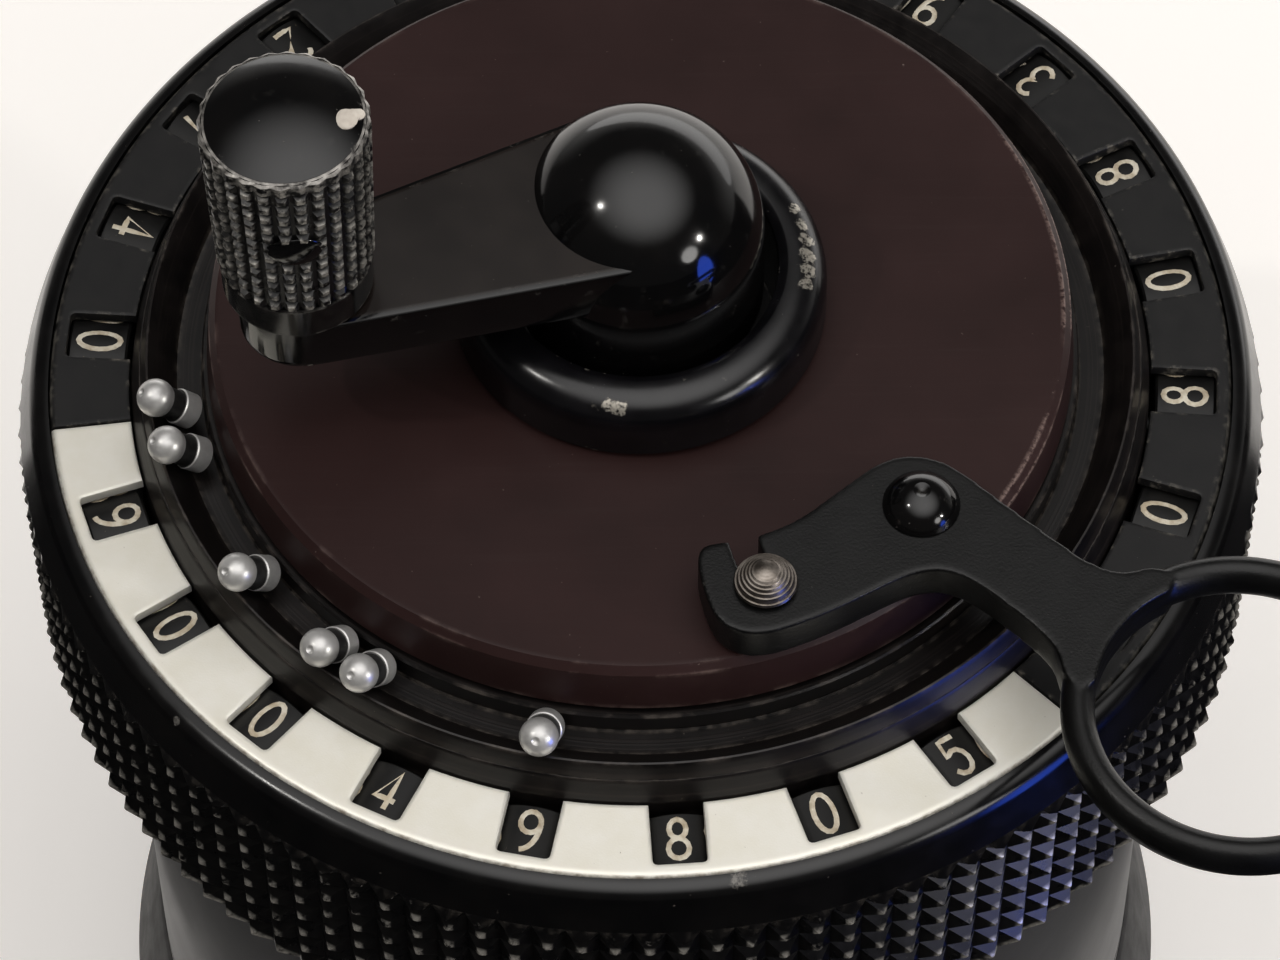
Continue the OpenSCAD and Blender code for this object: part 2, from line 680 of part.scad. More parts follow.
module clearing_plate() {
    color([0.2, 0.14, 0.13]) difference() {
        rotate_extrude() polygon([
            [neck_radius + run_gap, plate_bottom], [skirt_radius, plate_bottom],
            [plate_radius, plate_top], [neck_radius + run_gap, plate_top]]);
        on_lever() {
            translate([0, 0, plate_bottom - cut])
                cylinder(h = plate_top - plate_bottom + 2 * cut, r = rivet_radius);
            rotate([0, 0, stud_direction]) translate([stud_reach, 0, plate_bottom - cut])
                cylinder(h = plate_top - plate_bottom + 2 * cut, r = stud_radius);
        }
    }
}

// The lever's own frame, with the rivet at its origin and the finger ring along +X.
module on_lever()
    at(rivet_angle) translate([0, -rivet_distance, 0]) rotate([0, 0, -90 + lever_turn]) children();

module lever_studs() {
    rivet_cap = (rivet_head_radius * rivet_head_radius + rivet_head_height * rivet_head_height)
        / (2 * rivet_head_height);
    color([0.08, 0.08, 0.08]) on_lever() {
        translate([0, 0, plate_bottom])
            cylinder(h = lever_top + part_gap - plate_bottom, r = rivet_radius);
        translate([0, 0, lever_top + part_gap]) intersection() {
            translate([0, 0, rivet_head_height - rivet_cap]) sphere(r = rivet_cap);
            cylinder(h = rivet_head_height, r = rivet_head_radius);
        }
    }
    stud_cap = (stud_head_radius * stud_head_radius + stud_head_height * stud_head_height)
        / (2 * stud_head_height);
    color([0.6, 0.59, 0.57]) on_lever() rotate([0, 0, stud_direction])
        translate([stud_reach, 0, 0]) {
            translate([0, 0, plate_bottom])
                cylinder(h = lever_top + part_gap - plate_bottom, r = stud_radius);
            translate([0, 0, lever_top + part_gap]) intersection() {
                translate([0, 0, stud_head_height - stud_cap]) sphere(r = stud_cap);
                cylinder(h = stud_head_height, r = stud_head_radius);
            }
        }
}

module clearing_lever() {
    color([0.06, 0.06, 0.06]) on_lever() translate([0, 0, lever_bottom]) difference() {
        union() {
            linear_extrude(lever_thick)
                polygon([for (p = smooth(lever_points, smooth_steps)) p * lever_unit]);
            translate([finger_reach, 0, 0]) cylinder(h = lever_thick, r = finger_outer);
        }
        translate([finger_reach, 0, -cut]) cylinder(h = lever_thick + 2 * cut, r = finger_inner);
        translate([0, 0, -cut]) cylinder(h = lever_thick + 2 * cut, r = rivet_radius + run_gap);
        translate([0, 0, -cut]) rotate([0, 0, stud_direction - slot_sweep])
            rotate_extrude(angle = slot_sweep + slot_end)
                translate([stud_reach - slot_half, 0])
                    square([2 * slot_half, lever_thick + 2 * cut]);
    }
}

body_shell();
base_cap();
base_screws();
mechanism_frame();
setting_shafts();
transmission_shafts();
reversing_lever();
lift_collar();
main_shaft();
step_drum();
crank_arm();
crank_knob();
carriage_sleeve();
knurled_ring();
counter_face();
result_face();
marker_ring();
clearing_plate();
lever_studs();
clearing_lever();
setting_knob(1);  // setting_knob_01
setting_knob(2);  // setting_knob_02
setting_knob(3);  // setting_knob_03
setting_knob(4);  // setting_knob_04
setting_knob(5);  // setting_knob_05
setting_knob(6);  // setting_knob_06
setting_knob(7);  // setting_knob_07
setting_knob(8);  // setting_knob_08
setting_knob(9);  // setting_knob_09
setting_knob(10);  // setting_knob_10
setting_knob(11);  // setting_knob_11
counter_dial(1);  // counter_dial_1
counter_dial(2);  // counter_dial_2
counter_dial(3);  // counter_dial_3
counter_dial(4);  // counter_dial_4
counter_dial(5);  // counter_dial_5
counter_dial(6);  // counter_dial_6
counter_dial(7);  // counter_dial_7
counter_dial(8);  // counter_dial_8
result_dial(1);  // result_dial_01
result_dial(2);  // result_dial_02
result_dial(3);  // result_dial_03
result_dial(4);  // result_dial_04
result_dial(5);  // result_dial_05
result_dial(6);  // result_dial_06
result_dial(7);  // result_dial_07
result_dial(8);  // result_dial_08
result_dial(9);  // result_dial_09
result_dial(10);  // result_dial_10
result_dial(11);  // result_dial_11
result_dial(12);  // result_dial_12
result_dial(13);  // result_dial_13
result_dial(14);  // result_dial_14
result_dial(15);  // result_dial_15
decimal_marker(1);  // decimal_marker_1
decimal_marker(2);  // decimal_marker_2
decimal_marker(3);  // decimal_marker_3
decimal_marker(4);  // decimal_marker_4
decimal_marker(5);  // decimal_marker_5
decimal_marker(6);  // decimal_marker_6
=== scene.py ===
import math
import bpy
import bmesh
from mathutils import Matrix, Vector


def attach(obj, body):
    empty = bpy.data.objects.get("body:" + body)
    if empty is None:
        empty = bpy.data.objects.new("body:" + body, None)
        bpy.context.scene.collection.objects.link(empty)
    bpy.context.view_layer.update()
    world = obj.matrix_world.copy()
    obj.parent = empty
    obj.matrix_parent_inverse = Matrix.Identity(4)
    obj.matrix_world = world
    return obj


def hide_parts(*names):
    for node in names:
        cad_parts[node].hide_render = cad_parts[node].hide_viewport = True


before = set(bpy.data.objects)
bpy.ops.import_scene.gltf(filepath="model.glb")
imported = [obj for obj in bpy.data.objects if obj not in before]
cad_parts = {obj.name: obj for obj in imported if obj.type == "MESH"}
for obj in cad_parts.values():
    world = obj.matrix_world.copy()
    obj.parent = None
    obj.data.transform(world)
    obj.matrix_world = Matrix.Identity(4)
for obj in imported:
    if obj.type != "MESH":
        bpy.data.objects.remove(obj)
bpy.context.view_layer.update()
scene = bpy.context.scene
scene.view_settings.view_transform = 'Standard'
print("frame loaded,", len(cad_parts), "nodes")

# Lengths below are millimetres; a finished piece is scaled to metres. Angles run from -Y towards +X.


# Camera, fitted to the photograph's ellipses
cameraSetup = dict(azimuth=19.1, distance=170.9, height=307.8, pitch=56.56, yaw=-0.022, roll=-0.499,
                   focalPixels=5819.6, imageWidth=1280, sensor=36.0)


def makeCamera():
    s = cameraSetup
    pitch, yaw, roll = (math.radians(s[k]) for k in ("pitch", "yaw", "roll"))
    forward = Vector((math.sin(yaw) * math.cos(pitch), math.cos(yaw) * math.cos(pitch), -math.sin(pitch)))
    right = forward.cross(Vector((0, 0, 1))).normalized()
    up = right.cross(forward)
    side = math.cos(roll) * right + math.sin(roll) * up
    top = math.cos(roll) * up - math.sin(roll) * right
    pose = Matrix((side, top, -forward)).transposed().to_4x4()
    pose.translation = Vector((0, -s["distance"], s["height"])) / 1000
    data = bpy.data.cameras.new("photoCamera")
    data.sensor_width = s["sensor"]
    data.lens = s["focalPixels"] / s["imageWidth"] * s["sensor"]
    data.clip_start = 0.01
    eye = bpy.data.objects.new("photoCamera", data)
    eye.matrix_world = Matrix.Rotation(math.radians(s["azimuth"]), 4, 'Z') @ pose
    scene.collection.objects.link(eye)
    scene.camera = eye


lightSetup = dict(
    ceiling=dict(spot=(110, -110, 670), aim=(110, -110, 0), size=(1500, 1400), power=10.5,
                 tint=(1.0, 0.98, 0.965), fade=(0.06, 0.5)),
    backdrop=dict(spot=(0, 800, 130), aim=(0, 0, 60), size=(1500, 300), power=1.4, tint=(1.0, 0.985, 0.97)),
    lampRight=dict(spot=(561, -85, 284), aim=(0, 0, 60), size=(30, 30), power=0.6, tint=(1.0, 0.97, 0.92)),
    lampLeft=dict(spot=(-287, -215, 560), aim=(0, 0, 60), size=(20, 20), power=0.4, tint=(1.0, 0.97, 0.92)),
    window=dict(spot=(130, -38, 56), aim=(10, 0, 58), size=(34, 66), power=0.036, tint=(0.05, 0.14, 1.0),
                glossOnly=True),
    doorway=dict(spot=(132, -60, 112), aim=(20, 0, 58), size=(40, 34), power=0.02, tint=(1.0, 0.98, 0.95)))


def fadeLight(data, low, high):  # bright in the middle, nothing at the edge
    data.use_nodes = True
    tree = data.node_tree
    across = tree.nodes.new("ShaderNodeNewGeometry").outputs["Parametric"]
    glow = remap(tree, distanceTo(tree, across, (0.5, 0.5, 0)), low, high, 1.0, 0.0)
    glow.node.interpolation_type = 'SMOOTHSTEP'
    tree.links.new(glow, tree.nodes["Emission"].inputs["Strength"])


def makeLights():
    for name, s in lightSetup.items():
        data = bpy.data.lights.new(name, 'AREA')
        data.shape = 'ELLIPSE'
        data.size, data.size_y = s["size"][0] / 1000, s["size"][1] / 1000
        data.energy = s["power"]
        data.color = s["tint"]
        if "fade" in s:
            fadeLight(data, *s["fade"])
        lamp = bpy.data.objects.new(name, data)
        spot, aim = Vector(s["spot"]) / 1000, Vector(s["aim"]) / 1000
        facing = (spot - aim).to_track_quat('Z', 'Y')
        lamp.matrix_world = Matrix.Translation(spot) @ facing.to_matrix().to_4x4()
        lamp.visible_diffuse = not s.get("glossOnly", False)
        scene.collection.objects.link(lamp)


roomLight = dict(wall=(0.8, 0.78, 0.75, 1), gloom=(0.05, 0.048, 0.046, 1), side=(0.35, 0.95),
                 height=(0.4, 0.1))


def makeRoom():  # a pale wall behind, the rest of the room dim
    s = roomLight
    world = bpy.data.worlds.new("room")
    scene.world = world
    world.use_nodes = True
    tree = world.node_tree
    parts = tree.nodes.new("ShaderNodeSeparateXYZ")
    tree.links.new(tree.nodes.new("ShaderNodeTexCoord").outputs["Generated"], parts.inputs[0])
    back = remap(tree, parts.outputs["Y"], *s["side"])
    low = remap(tree, parts.outputs["Z"], *s["height"])
    glow = blendColour(tree, sums(tree, 'MULTIPLY', back, low), s["gloom"], s["wall"])
    tree.links.new(glow, tree.nodes["Background"].inputs["Color"])


cardSize = dict(near=36, reach=140, low=0.5, top=72, sweep=115, steps=48, colour=(20, 19, 19))


def makeCard():  # dark card seen only in reflections: the room in front of the machine is dark
    s = cardSize
    bm = bmesh.new()
    corners = ((s["near"], s["low"]), (s["reach"], s["low"]), (s["reach"], s["top"]))
    line = chain(bm, [place(-s["sweep"], reach, level) for reach, level in corners])
    bmesh.ops.spin(bm, geom=line, cent=(0, 0, 0), axis=(0, 0, 1), angle=math.radians(2 * s["sweep"]),
                   steps=s["steps"])
    turn = Matrix.Rotation(math.radians(cameraSetup["azimuth"]), 3, 'Z')
    bmesh.ops.rotate(bm, verts=bm.verts, matrix=turn)
    bmesh.ops.scale(bm, vec=toMetres, verts=bm.verts)
    card = looseObject("darkCard", bm)
    finish = bpy.data.materials.new("cardBlack")
    finish.use_nodes = True
    shader = finish.node_tree.nodes["Principled BSDF"]
    shader.inputs["Base Color"].default_value = shade(*s["colour"])
    shader.inputs["Roughness"].default_value = 1.0
    card.data.materials.append(finish)
    card.visible_camera = False
    card.visible_diffuse = False
    card.visible_shadow = False


# Finishes
def shade(red, green, blue):  # screen colour 0-255 to the shader's linear colour
    return tuple(c / 12.92 if c <= 0.04045 else ((c + 0.055) / 1.055) ** 2.4
                 for c in (red / 255, green / 255, blue / 255)) + (1.0,)


def feed(tree, socket, value):
    if isinstance(value, bpy.types.NodeSocket):
        tree.links.new(value, socket)
    else:
        socket.default_value = value


def mapped(tree, coords, scale, turn=0.0):
    if turn:
        turned = tree.nodes.new("ShaderNodeMapping")
        tree.links.new(coords, turned.inputs["Vector"])
        turned.inputs["Rotation"].default_value = (0, 0, math.radians(-turn))
        coords = turned.outputs[0]
    made = tree.nodes.new("ShaderNodeMapping")
    tree.links.new(coords, made.inputs["Vector"])
    made.inputs["Scale"].default_value = scale
    return made.outputs[0]


def grainOf(tree, place, scale, detail=3.0, roughness=0.55, distortion=0.0):
    made = tree.nodes.new("ShaderNodeTexNoise")
    tree.links.new(place, made.inputs["Vector"])
    made.inputs["Scale"].default_value = scale
    made.inputs["Detail"].default_value = detail
    made.inputs["Roughness"].default_value = roughness
    made.inputs["Distortion"].default_value = distortion
    return made.outputs[0]


def remap(tree, value, low, high, toLow=0.0, toHigh=1.0):
    made = tree.nodes.new("ShaderNodeMapRange")
    for key, number in (("From Min", low), ("From Max", high), ("To Min", toLow), ("To Max", toHigh)):
        made.inputs[key].default_value = number
    tree.links.new(value, made.inputs["Value"])
    return made.outputs[0]


def sums(tree, kind, first, second):
    made = tree.nodes.new("ShaderNodeMath")
    made.operation = kind
    feed(tree, made.inputs[0], first)
    feed(tree, made.inputs[1], second)
    return made.outputs[0]


def blendColour(tree, amount, low, high):
    made = tree.nodes.new("ShaderNodeMix")
    made.data_type = 'RGBA'
    feed(tree, made.inputs[0], amount)
    feed(tree, made.inputs[6], low)
    feed(tree, made.inputs[7], high)
    return made.outputs[2]


def blendNumber(tree, amount, low, high):
    made = tree.nodes.new("ShaderNodeMix")
    made.data_type = 'FLOAT'
    feed(tree, made.inputs[0], amount)
    feed(tree, made.inputs[2], low)
    feed(tree, made.inputs[3], high)
    return made.outputs[0]


def ownMark(tree, name):  # a value stored on the piece's points
    made = tree.nodes.new("ShaderNodeAttribute")
    made.attribute_name = name
    return made.outputs["Fac"]


def distanceTo(tree, place, point):
    made = tree.nodes.new("ShaderNodeVectorMath")
    made.operation = 'DISTANCE'
    tree.links.new(place, made.inputs[0])
    made.inputs[1].default_value = point
    return made.outputs["Value"]


# Spans of noise in which each mark shows
noiseSpan = dict(mottle=(0.36, 0.64), rough=(0.3, 0.7), streak=(0.55, 0.8), dustSpot=(0.75, 0.79),
                 dustPatch=(0.4, 0.7), flake=(0.38, 0.56))
dustLook = dict(patchScale=1.6, rough=0.8)
chipLook = dict(raggedScale=2.4, flakeScale=4.5, wobble=1.9, inner=1.65, outer=1.85)


def chipMask(tree, place, chips):  # ragged spots at (x, y, z, radius)
    s = chipLook
    ragged = grainOf(tree, place, s["raggedScale"], 5.0, 0.62)
    flaky = remap(tree, grainOf(tree, place, s["flakeScale"], 4.0, 0.65), *noiseSpan["flake"])
    total = None
    for x, y, z, radius in chips:
        gap = distanceTo(tree, place, (x, y, z))
        wobble = sums(tree, 'MULTIPLY_ADD', ragged, s["wobble"] * radius)
        tree.links.new(gap, wobble.node.inputs[2])
        spot = remap(tree, wobble, s["inner"] * radius, s["outer"] * radius, 1.0, 0.0)
        total = spot if total is None else sums(tree, 'MAXIMUM', total, spot)
    return sums(tree, 'MULTIPLY', total, flaky)


def ringsOf(tree, place, pitch):  # lathe lines: noise that depends on the distance from the crank axis
    flat = tree.nodes.new("ShaderNodeVectorMath")
    flat.operation = 'MULTIPLY'
    tree.links.new(place, flat.inputs[0])
    flat.inputs[1].default_value = (1, 1, 0)
    reach = tree.nodes.new("ShaderNodeVectorMath")
    reach.operation = 'LENGTH'
    tree.links.new(flat.outputs[0], reach.inputs[0])
    made = tree.nodes.new("ShaderNodeTexNoise")
    made.noise_dimensions = '1D'
    tree.links.new(reach.outputs["Value"], made.inputs["W"])
    made.inputs["Scale"].default_value = 1 / pitch
    made.inputs["Detail"].default_value = 2.0
    return made.outputs[0]


def makeFinish(name, look):
    finish = bpy.data.materials.new(name)
    finish.use_nodes = True
    tree = finish.node_tree
    shader = tree.nodes["Principled BSDF"]
    coords = tree.nodes.new("ShaderNodeTexCoord").outputs["Object"]
    place = mapped(tree, coords, (1000, 1000, 1000))
    mottle = grainOf(tree, place, look["mottle"], 5.0, 0.6)
    colour = blendColour(tree, remap(tree, mottle, *noiseSpan["mottle"]), look["base"], look["tint"])
    rough = remap(tree, mottle, *noiseSpan["rough"], *look["rough"])
    metal = look.get("metal", 0.0)
    if "turned" in look:
        lines = ringsOf(tree, place, look["turned"][0])
    elif "brushed" in look:
        scale, _, stretch, turn = look["brushed"]
        lines = grainOf(tree, mapped(tree, coords, stretch, turn), scale, 3.0)
    else:
        lines = grainOf(tree, place, look["speck"][0], 2.0)
    depth = (look.get("turned") or look.get("brushed") or look.get("speck"))[1]
    if "streak" in look:
        streakColour, strength = look["streak"]
        streaks = remap(tree, lines, *noiseSpan["streak"], 0.0, strength)
        colour = blendColour(tree, streaks, colour, streakColour)
    if "dust" in look:
        dustColour, spotAmount, spotScale, creaseAmount = look["dust"]
        spots = grainOf(tree, place, spotScale, 2.0)
        spots = remap(tree, spots, *noiseSpan["dustSpot"], 0.0, spotAmount)
        patches = grainOf(tree, place, dustLook["patchScale"], 4.0)
        patches = remap(tree, patches, *noiseSpan["dustPatch"], 0.0, creaseAmount)
        dusty = sums(tree, 'MAXIMUM', spots, sums(tree, 'MULTIPLY', ownMark(tree, "creaseDust"), patches))
        colour = blendColour(tree, dusty, colour, dustColour)
        rough = blendNumber(tree, dusty, rough, dustLook["rough"])
    if "worn" in look:
        wornColour, wornMetal, wornRough, wornScale, wornSpan, wornAmount = look["worn"]
        ragged = remap(tree, grainOf(tree, place, wornScale, 5.0, 0.65), *wornSpan)
        if "rubbed" in look:  # stretches where the edge is worn right through
            ragged = sums(tree, 'MAXIMUM', ragged, chipMask(tree, place, look["rubbed"]))
        edges = remap(tree, ownMark(tree, "edgeWear"), look.get("wornFrom", 0.0), 1.0)
        worn = sums(tree, 'MULTIPLY', edges, ragged)
        if "chips" in look:
            worn = sums(tree, 'MAXIMUM', worn, chipMask(tree, place, look["chips"]))
        worn = sums(tree, 'MULTIPLY', worn, wornAmount)
        colour = blendColour(tree, worn, colour, wornColour)
        metal = blendNumber(tree, worn, metal, wornMetal)
        rough = blendNumber(tree, worn, rough, wornRough)
    feed(tree, shader.inputs["Base Color"], colour)
    feed(tree, shader.inputs["Roughness"], rough)
    feed(tree, shader.inputs["Metallic"], metal)
    shader.inputs["Specular IOR Level"].default_value = look.get("specular", 0.5)
    bump = tree.nodes.new("ShaderNodeBump")
    bump.inputs["Strength"].default_value = 1.0
    bump.inputs["Distance"].default_value = depth / 1000
    tree.links.new(lines, bump.inputs["Height"])
    tree.links.new(bump.outputs[0], shader.inputs["Normal"])
    return finish


# dust: colour, amount of spots, their scale, amount in creases
# worn: colour, metal, roughness, scale, span of the noise that wears, amount
blackGloss = makeFinish("blackGloss", dict(
    base=shade(7, 7, 8), tint=shade(12, 11, 11), mottle=0.35, rough=(0.07, 0.16), speck=(2.5, 0.0008),
    dust=(shade(120, 116, 110), 0.5, 4.5, 0.45),
    worn=(shade(150, 146, 140), 0.6, 0.4, 1.1, (0.62, 0.74), 0.5)))
collarGloss = makeFinish("collarGloss", dict(
    base=shade(8, 8, 10), tint=shade(14, 13, 16), mottle=0.5, rough=(0.16, 0.28), speck=(2.5, 0.0015),
    dust=(shade(110, 106, 100), 0.5, 4.5, 0.8),
    worn=(shade(190, 184, 172), 0.8, 0.35, 1.5, (0.66, 0.76), 0.9),
    chips=((1.85, -8.72, 68.9, 0.45), (1.3, -8.78, 68.9, 0.4), (6.46, 5.52, 69.15, 0.42),
           (7.1, 4.7, 69.15, 0.4), (7.6, 3.85, 69.12, 0.55), (8.0, 2.9, 69.12, 0.55),
           (8.25, 2.05, 69.12, 0.5), (8.41, 1.26, 69.12, 0.45))))
knurlBlack = makeFinish("knurlBlack", dict(
    base=shade(4, 4, 5), tint=shade(9, 8, 8), mottle=0.8, rough=(0.24, 0.36), speck=(5.0, 0.002),
    specular=0.3, dust=(shade(90, 86, 80), 0.4, 4.5, 0.06),
    worn=(shade(190, 186, 178), 0.75, 0.28, 1.3, (0.4, 0.6), 0.9), wornFrom=0.7))
knobKnurl = makeFinish("knobKnurl", dict(
    base=shade(6, 6, 7), tint=shade(13, 12, 12), mottle=1.1, rough=(0.24, 0.38), speck=(7.0, 0.002),
    specular=0.35, dust=(shade(110, 106, 98), 0.5, 5.0, 0.2),
    worn=(shade(190, 186, 178), 0.8, 0.3, 1.8, (0.44, 0.64), 0.7), wornFrom=0.3))
rimGloss = makeFinish("rimGloss", dict(
    base=shade(6, 6, 7), tint=shade(11, 10, 10), mottle=0.4, rough=(0.16, 0.26), speck=(3.0, 0.0012),
    dust=(shade(120, 112, 102), 0.5, 4.5, 0.5),
    worn=(shade(150, 146, 140), 0.6, 0.4, 1.1, (0.6, 0.74), 0.5),
    wornFrom=0.7, chips=((14.4, -27.4, 59.85, 0.5), (-15.0, -27.6, 59.7, 0.3))))
rimWorn = makeFinish("rimWorn", dict(
    base=shade(60, 58, 56), tint=shade(186, 182, 176), mottle=1.3, rough=(0.3, 0.42), metal=0.7,
    speck=(7.0, 0.003), dust=(shade(30, 29, 28), 0.6, 4.0, 0.4)))
# arm's flat faces and rounded edges: black painted lighter brown, a painted sheen of the light from above,
# with real dust and wear
armTopSheenAndWear = makeFinish("armTopSheenAndWear", dict(
    base=shade(27, 22, 20), tint=shade(35, 29, 26), mottle=0.25, rough=(0.16, 0.26), speck=(4.0, 0.001),
    dust=(shade(130, 124, 116), 0.6, 4.0, 0.4),
    worn=(shade(170, 165, 158), 0.7, 0.35, 1.4, (0.54, 0.7), 0.6)))
leverSatin = makeFinish("leverSatin", dict(
    base=shade(6, 6, 6), tint=shade(11, 11, 11), mottle=0.5, rough=(0.3, 0.42), speck=(7.0, 0.012),
    specular=0.35, dust=(shade(96, 94, 90), 0.4, 5.0, 0.2),
    worn=(shade(120, 117, 112), 0.5, 0.4, 1.6, (0.64, 0.76), 0.4)))
blackMatte = makeFinish("blackMatte", dict(
    base=shade(12, 12, 13), tint=shade(19, 18, 18), mottle=0.6, rough=(0.42, 0.56), speck=(6.0, 0.006),
    specular=0.4, dust=(shade(120, 116, 108), 0.5, 4.0, 0.5),
    worn=(shade(140, 134, 124), 0.6, 0.4, 1.5, (0.52, 0.7), 0.7)))
ringBrown = makeFinish("ringBrown", dict(
    base=shade(11, 9, 9), tint=shade(19, 15, 14), mottle=0.4, rough=(0.28, 0.4), specular=0.4,
    turned=(0.16, 0.006), streak=(shade(58, 50, 47), 0.3), dust=(shade(96, 88, 80), 0.5, 4.0, 0.5),
    worn=(shade(140, 130, 122), 0.8, 0.35, 0.5, (0.5, 0.9), 0.6)))
plateBrown = makeFinish("plateBrown", dict(
    base=shade(41, 25, 24), tint=shade(48, 30, 29), mottle=0.1, rough=(0.4, 0.5), specular=0.2,
    brushed=(1.0, 0.004, (120, 4200, 1000), 19.1), streak=(shade(58, 45, 43), 0.25),
    dust=(shade(130, 116, 110), 0.5, 3.0, 0.2),
    worn=(shade(176, 152, 144), 0.85, 0.3, 0.35, (0.5, 0.9), 0.85),
    rubbed=[(22 * math.sin(math.radians(a)), -22 * math.cos(math.radians(a)), 65.2, r)
            for a, r in ((108, 1.6), (114, 1.8), (121, 1.8), (128, 1.7), (135, 1.3), (87, 1.2), (81, 1.5),
                         (75, 1.3))]))
silverFace = makeFinish("silverFace", dict(
    base=shade(246, 242, 228), tint=shade(252, 249, 239), mottle=0.3, rough=(0.36, 0.46), metal=0.3,
    speck=(9.0, 0.006), dust=(shade(108, 84, 58), 0.6, 4.0, 0.9),
    worn=(shade(236, 236, 228), 0.8, 0.3, 1.5, (0.3, 0.6), 0.6)))
dialBlack = makeFinish("dialBlack", dict(
    base=shade(12, 12, 12), tint=shade(20, 19, 18), mottle=0.9, rough=(0.4, 0.52), specular=0.35,
    speck=(6.0, 0.004), dust=(shade(120, 110, 96), 0.5, 4.0, 0.5)))
digitWhite = makeFinish("digitWhite", dict(
    base=shade(222, 215, 198), tint=shade(200, 186, 160), mottle=1.6, rough=(0.5, 0.65), speck=(7.0, 0.004),
    dust=(shade(120, 96, 64), 0.7, 2.6, 0.5)))
markerSteel = makeFinish("markerSteel", dict(
    base=shade(206, 205, 203), tint=shade(220, 219, 217), mottle=1.5, rough=(0.32, 0.44), metal=0.6,
    speck=(9.0, 0.003), dust=(shade(70, 66, 62), 0.6, 5.0, 0.9)))
markerDark = makeFinish("markerDark", dict(
    base=shade(74, 74, 74), tint=shade(96, 96, 95), mottle=1.5, rough=(0.36, 0.5), metal=0.9,
    speck=(9.0, 0.004), dust=(shade(50, 47, 44), 0.6, 5.0, 0.9)))
studSteel = makeFinish("studSteel", dict(
    base=shade(120, 112, 104), tint=shade(158, 150, 142), mottle=1.2, rough=(0.28, 0.42), metal=1.0,
    speck=(9.0, 0.004), dust=(shade(60, 54, 48), 0.6, 4.0, 0.9)))
caseGrey = makeFinish("caseGrey", dict(
    base=shade(62, 62, 64), tint=shade(74, 74, 75), mottle=0.12, rough=(0.3, 0.4), metal=0.3,
    speck=(5.0, 0.004), dust=(shade(50, 48, 45), 0.4, 4.0, 0.8),
    worn=(shade(176, 174, 170), 0.9, 0.3, 0.9, (0.52, 0.7), 0.7)))
innerSteel = makeFinish("innerSteel", dict(
    base=shade(150, 149, 146), tint=shade(172, 171, 168), mottle=0.5, rough=(0.26, 0.38), metal=1.0,
    turned=(0.12, 0.004)))
innerBrass = makeFinish("innerBrass", dict(
    base=shade(178, 146, 84), tint=shade(196, 166, 104), mottle=0.4, rough=(0.26, 0.4), metal=1.0,
    turned=(0.2, 0.004)))
paintWhite = makeFinish("paintWhite", dict(
    base=shade(226, 218, 206), tint=shade(206, 196, 184), mottle=1.4, rough=(0.45, 0.6), speck=(4.0, 0.01)))
print("finishes made")

makeCamera()
makeLights()
makeRoom()
print("camera and lights set")


# Shared mesh steps
toMetres = (0.001, 0.001, 0.001)
touch = 0.01  # closer than this is the same place
lying = Matrix.Rotation(math.pi / 2, 4, 'X')  # what stands on Z points outwards


def place(angle, distance, level=0.0):
    a = math.radians(angle)
    return Vector((distance * math.sin(a), -distance * math.cos(a), level))


def standAt(angle, distance=0.0, level=0.0):
    return Matrix.Rotation(math.radians(angle), 4, 'Z') @ Matrix.Translation((0, -distance, level))


def arcLine(centre, radius, start, stop, steps):
    x, y = centre
    angles = [math.radians(start + (stop - start) * i / steps) for i in range(steps + 1)]
    return [(x + radius * math.cos(a), y + radius * math.sin(a)) for a in angles]


def shifted(points, radius, height):  # a detail of a profile, given from its corner
    return [(radius + r, height + z) for r, z in points]


def held(profile, gap):  # points close to each corner keep its wear and shading at the edge
    line = profile[:1]
    for (r, z), (s, y) in zip(profile, profile[1:]):
        part = gap / max(math.dist((r, z), (s, y)), gap)
        if part < 0.25:
            line += [(r + (s - r) * part, z + (y - z) * part), (s + (r - s) * part, y + (z - y) * part)]
        line.append((s, y))
    return line


def chain(bm, points, closed=False):  # a line of edges through the points
    verts = [bm.verts.new(p) for p in points]
    edges = [bm.edges.new(pair) for pair in zip(verts, verts[1:])]
    if closed:
        edges.append(bm.edges.new((verts[-1], verts[0])))
    return verts + edges


def spinFull(bm, line, steps, centre=(0, 0, 0)):
    bmesh.ops.spin(bm, geom=line, cent=centre, axis=(0, 0, 1), angle=2 * math.pi, steps=steps,
                   use_merge=True)


def lathe(bm, profile, steps=180, closed=False, hold=0.12):  # profile of (radius, height) spun about Z
    spinFull(bm, chain(bm, [(r, 0, z) for r, z in held(profile, hold)], closed), steps)


def prism(bm, outline, low, high):  # a flat outline drawn up between two heights
    flat = bm.faces.new([bm.verts.new((x, y, low)) for x, y in outline])
    grown = bmesh.ops.extrude_face_region(bm, geom=[flat])["geom"]
    top = [g for g in grown if isinstance(g, bmesh.types.BMVert)]
    bmesh.ops.translate(bm, vec=(0, 0, high - low), verts=top)


def soften(bm, edges, width, segments=3, clamp=True):
    bmesh.ops.bevel(bm, geom=edges, offset=width, offset_type='OFFSET', segments=segments, profile=0.5,
                    affect='EDGES', clamp_overlap=clamp, material=-1)


def tidy(bm):
    bmesh.ops.remove_doubles(bm, verts=bm.verts, dist=1e-4)
    bmesh.ops.dissolve_degenerate(bm, edges=bm.edges, dist=1e-5)
    bmesh.ops.recalc_face_normals(bm, faces=bm.faces)


def moved(bm, pose):
    bmesh.ops.transform(bm, matrix=pose, verts=bm.verts)
    return bm


def join(bm, part):  # the part's mesh added to bm, the part freed
    mesh = bpy.data.meshes.new("joined")
    part.to_mesh(mesh)
    part.free()
    bm.from_mesh(mesh)
    bpy.data.meshes.remove(mesh)


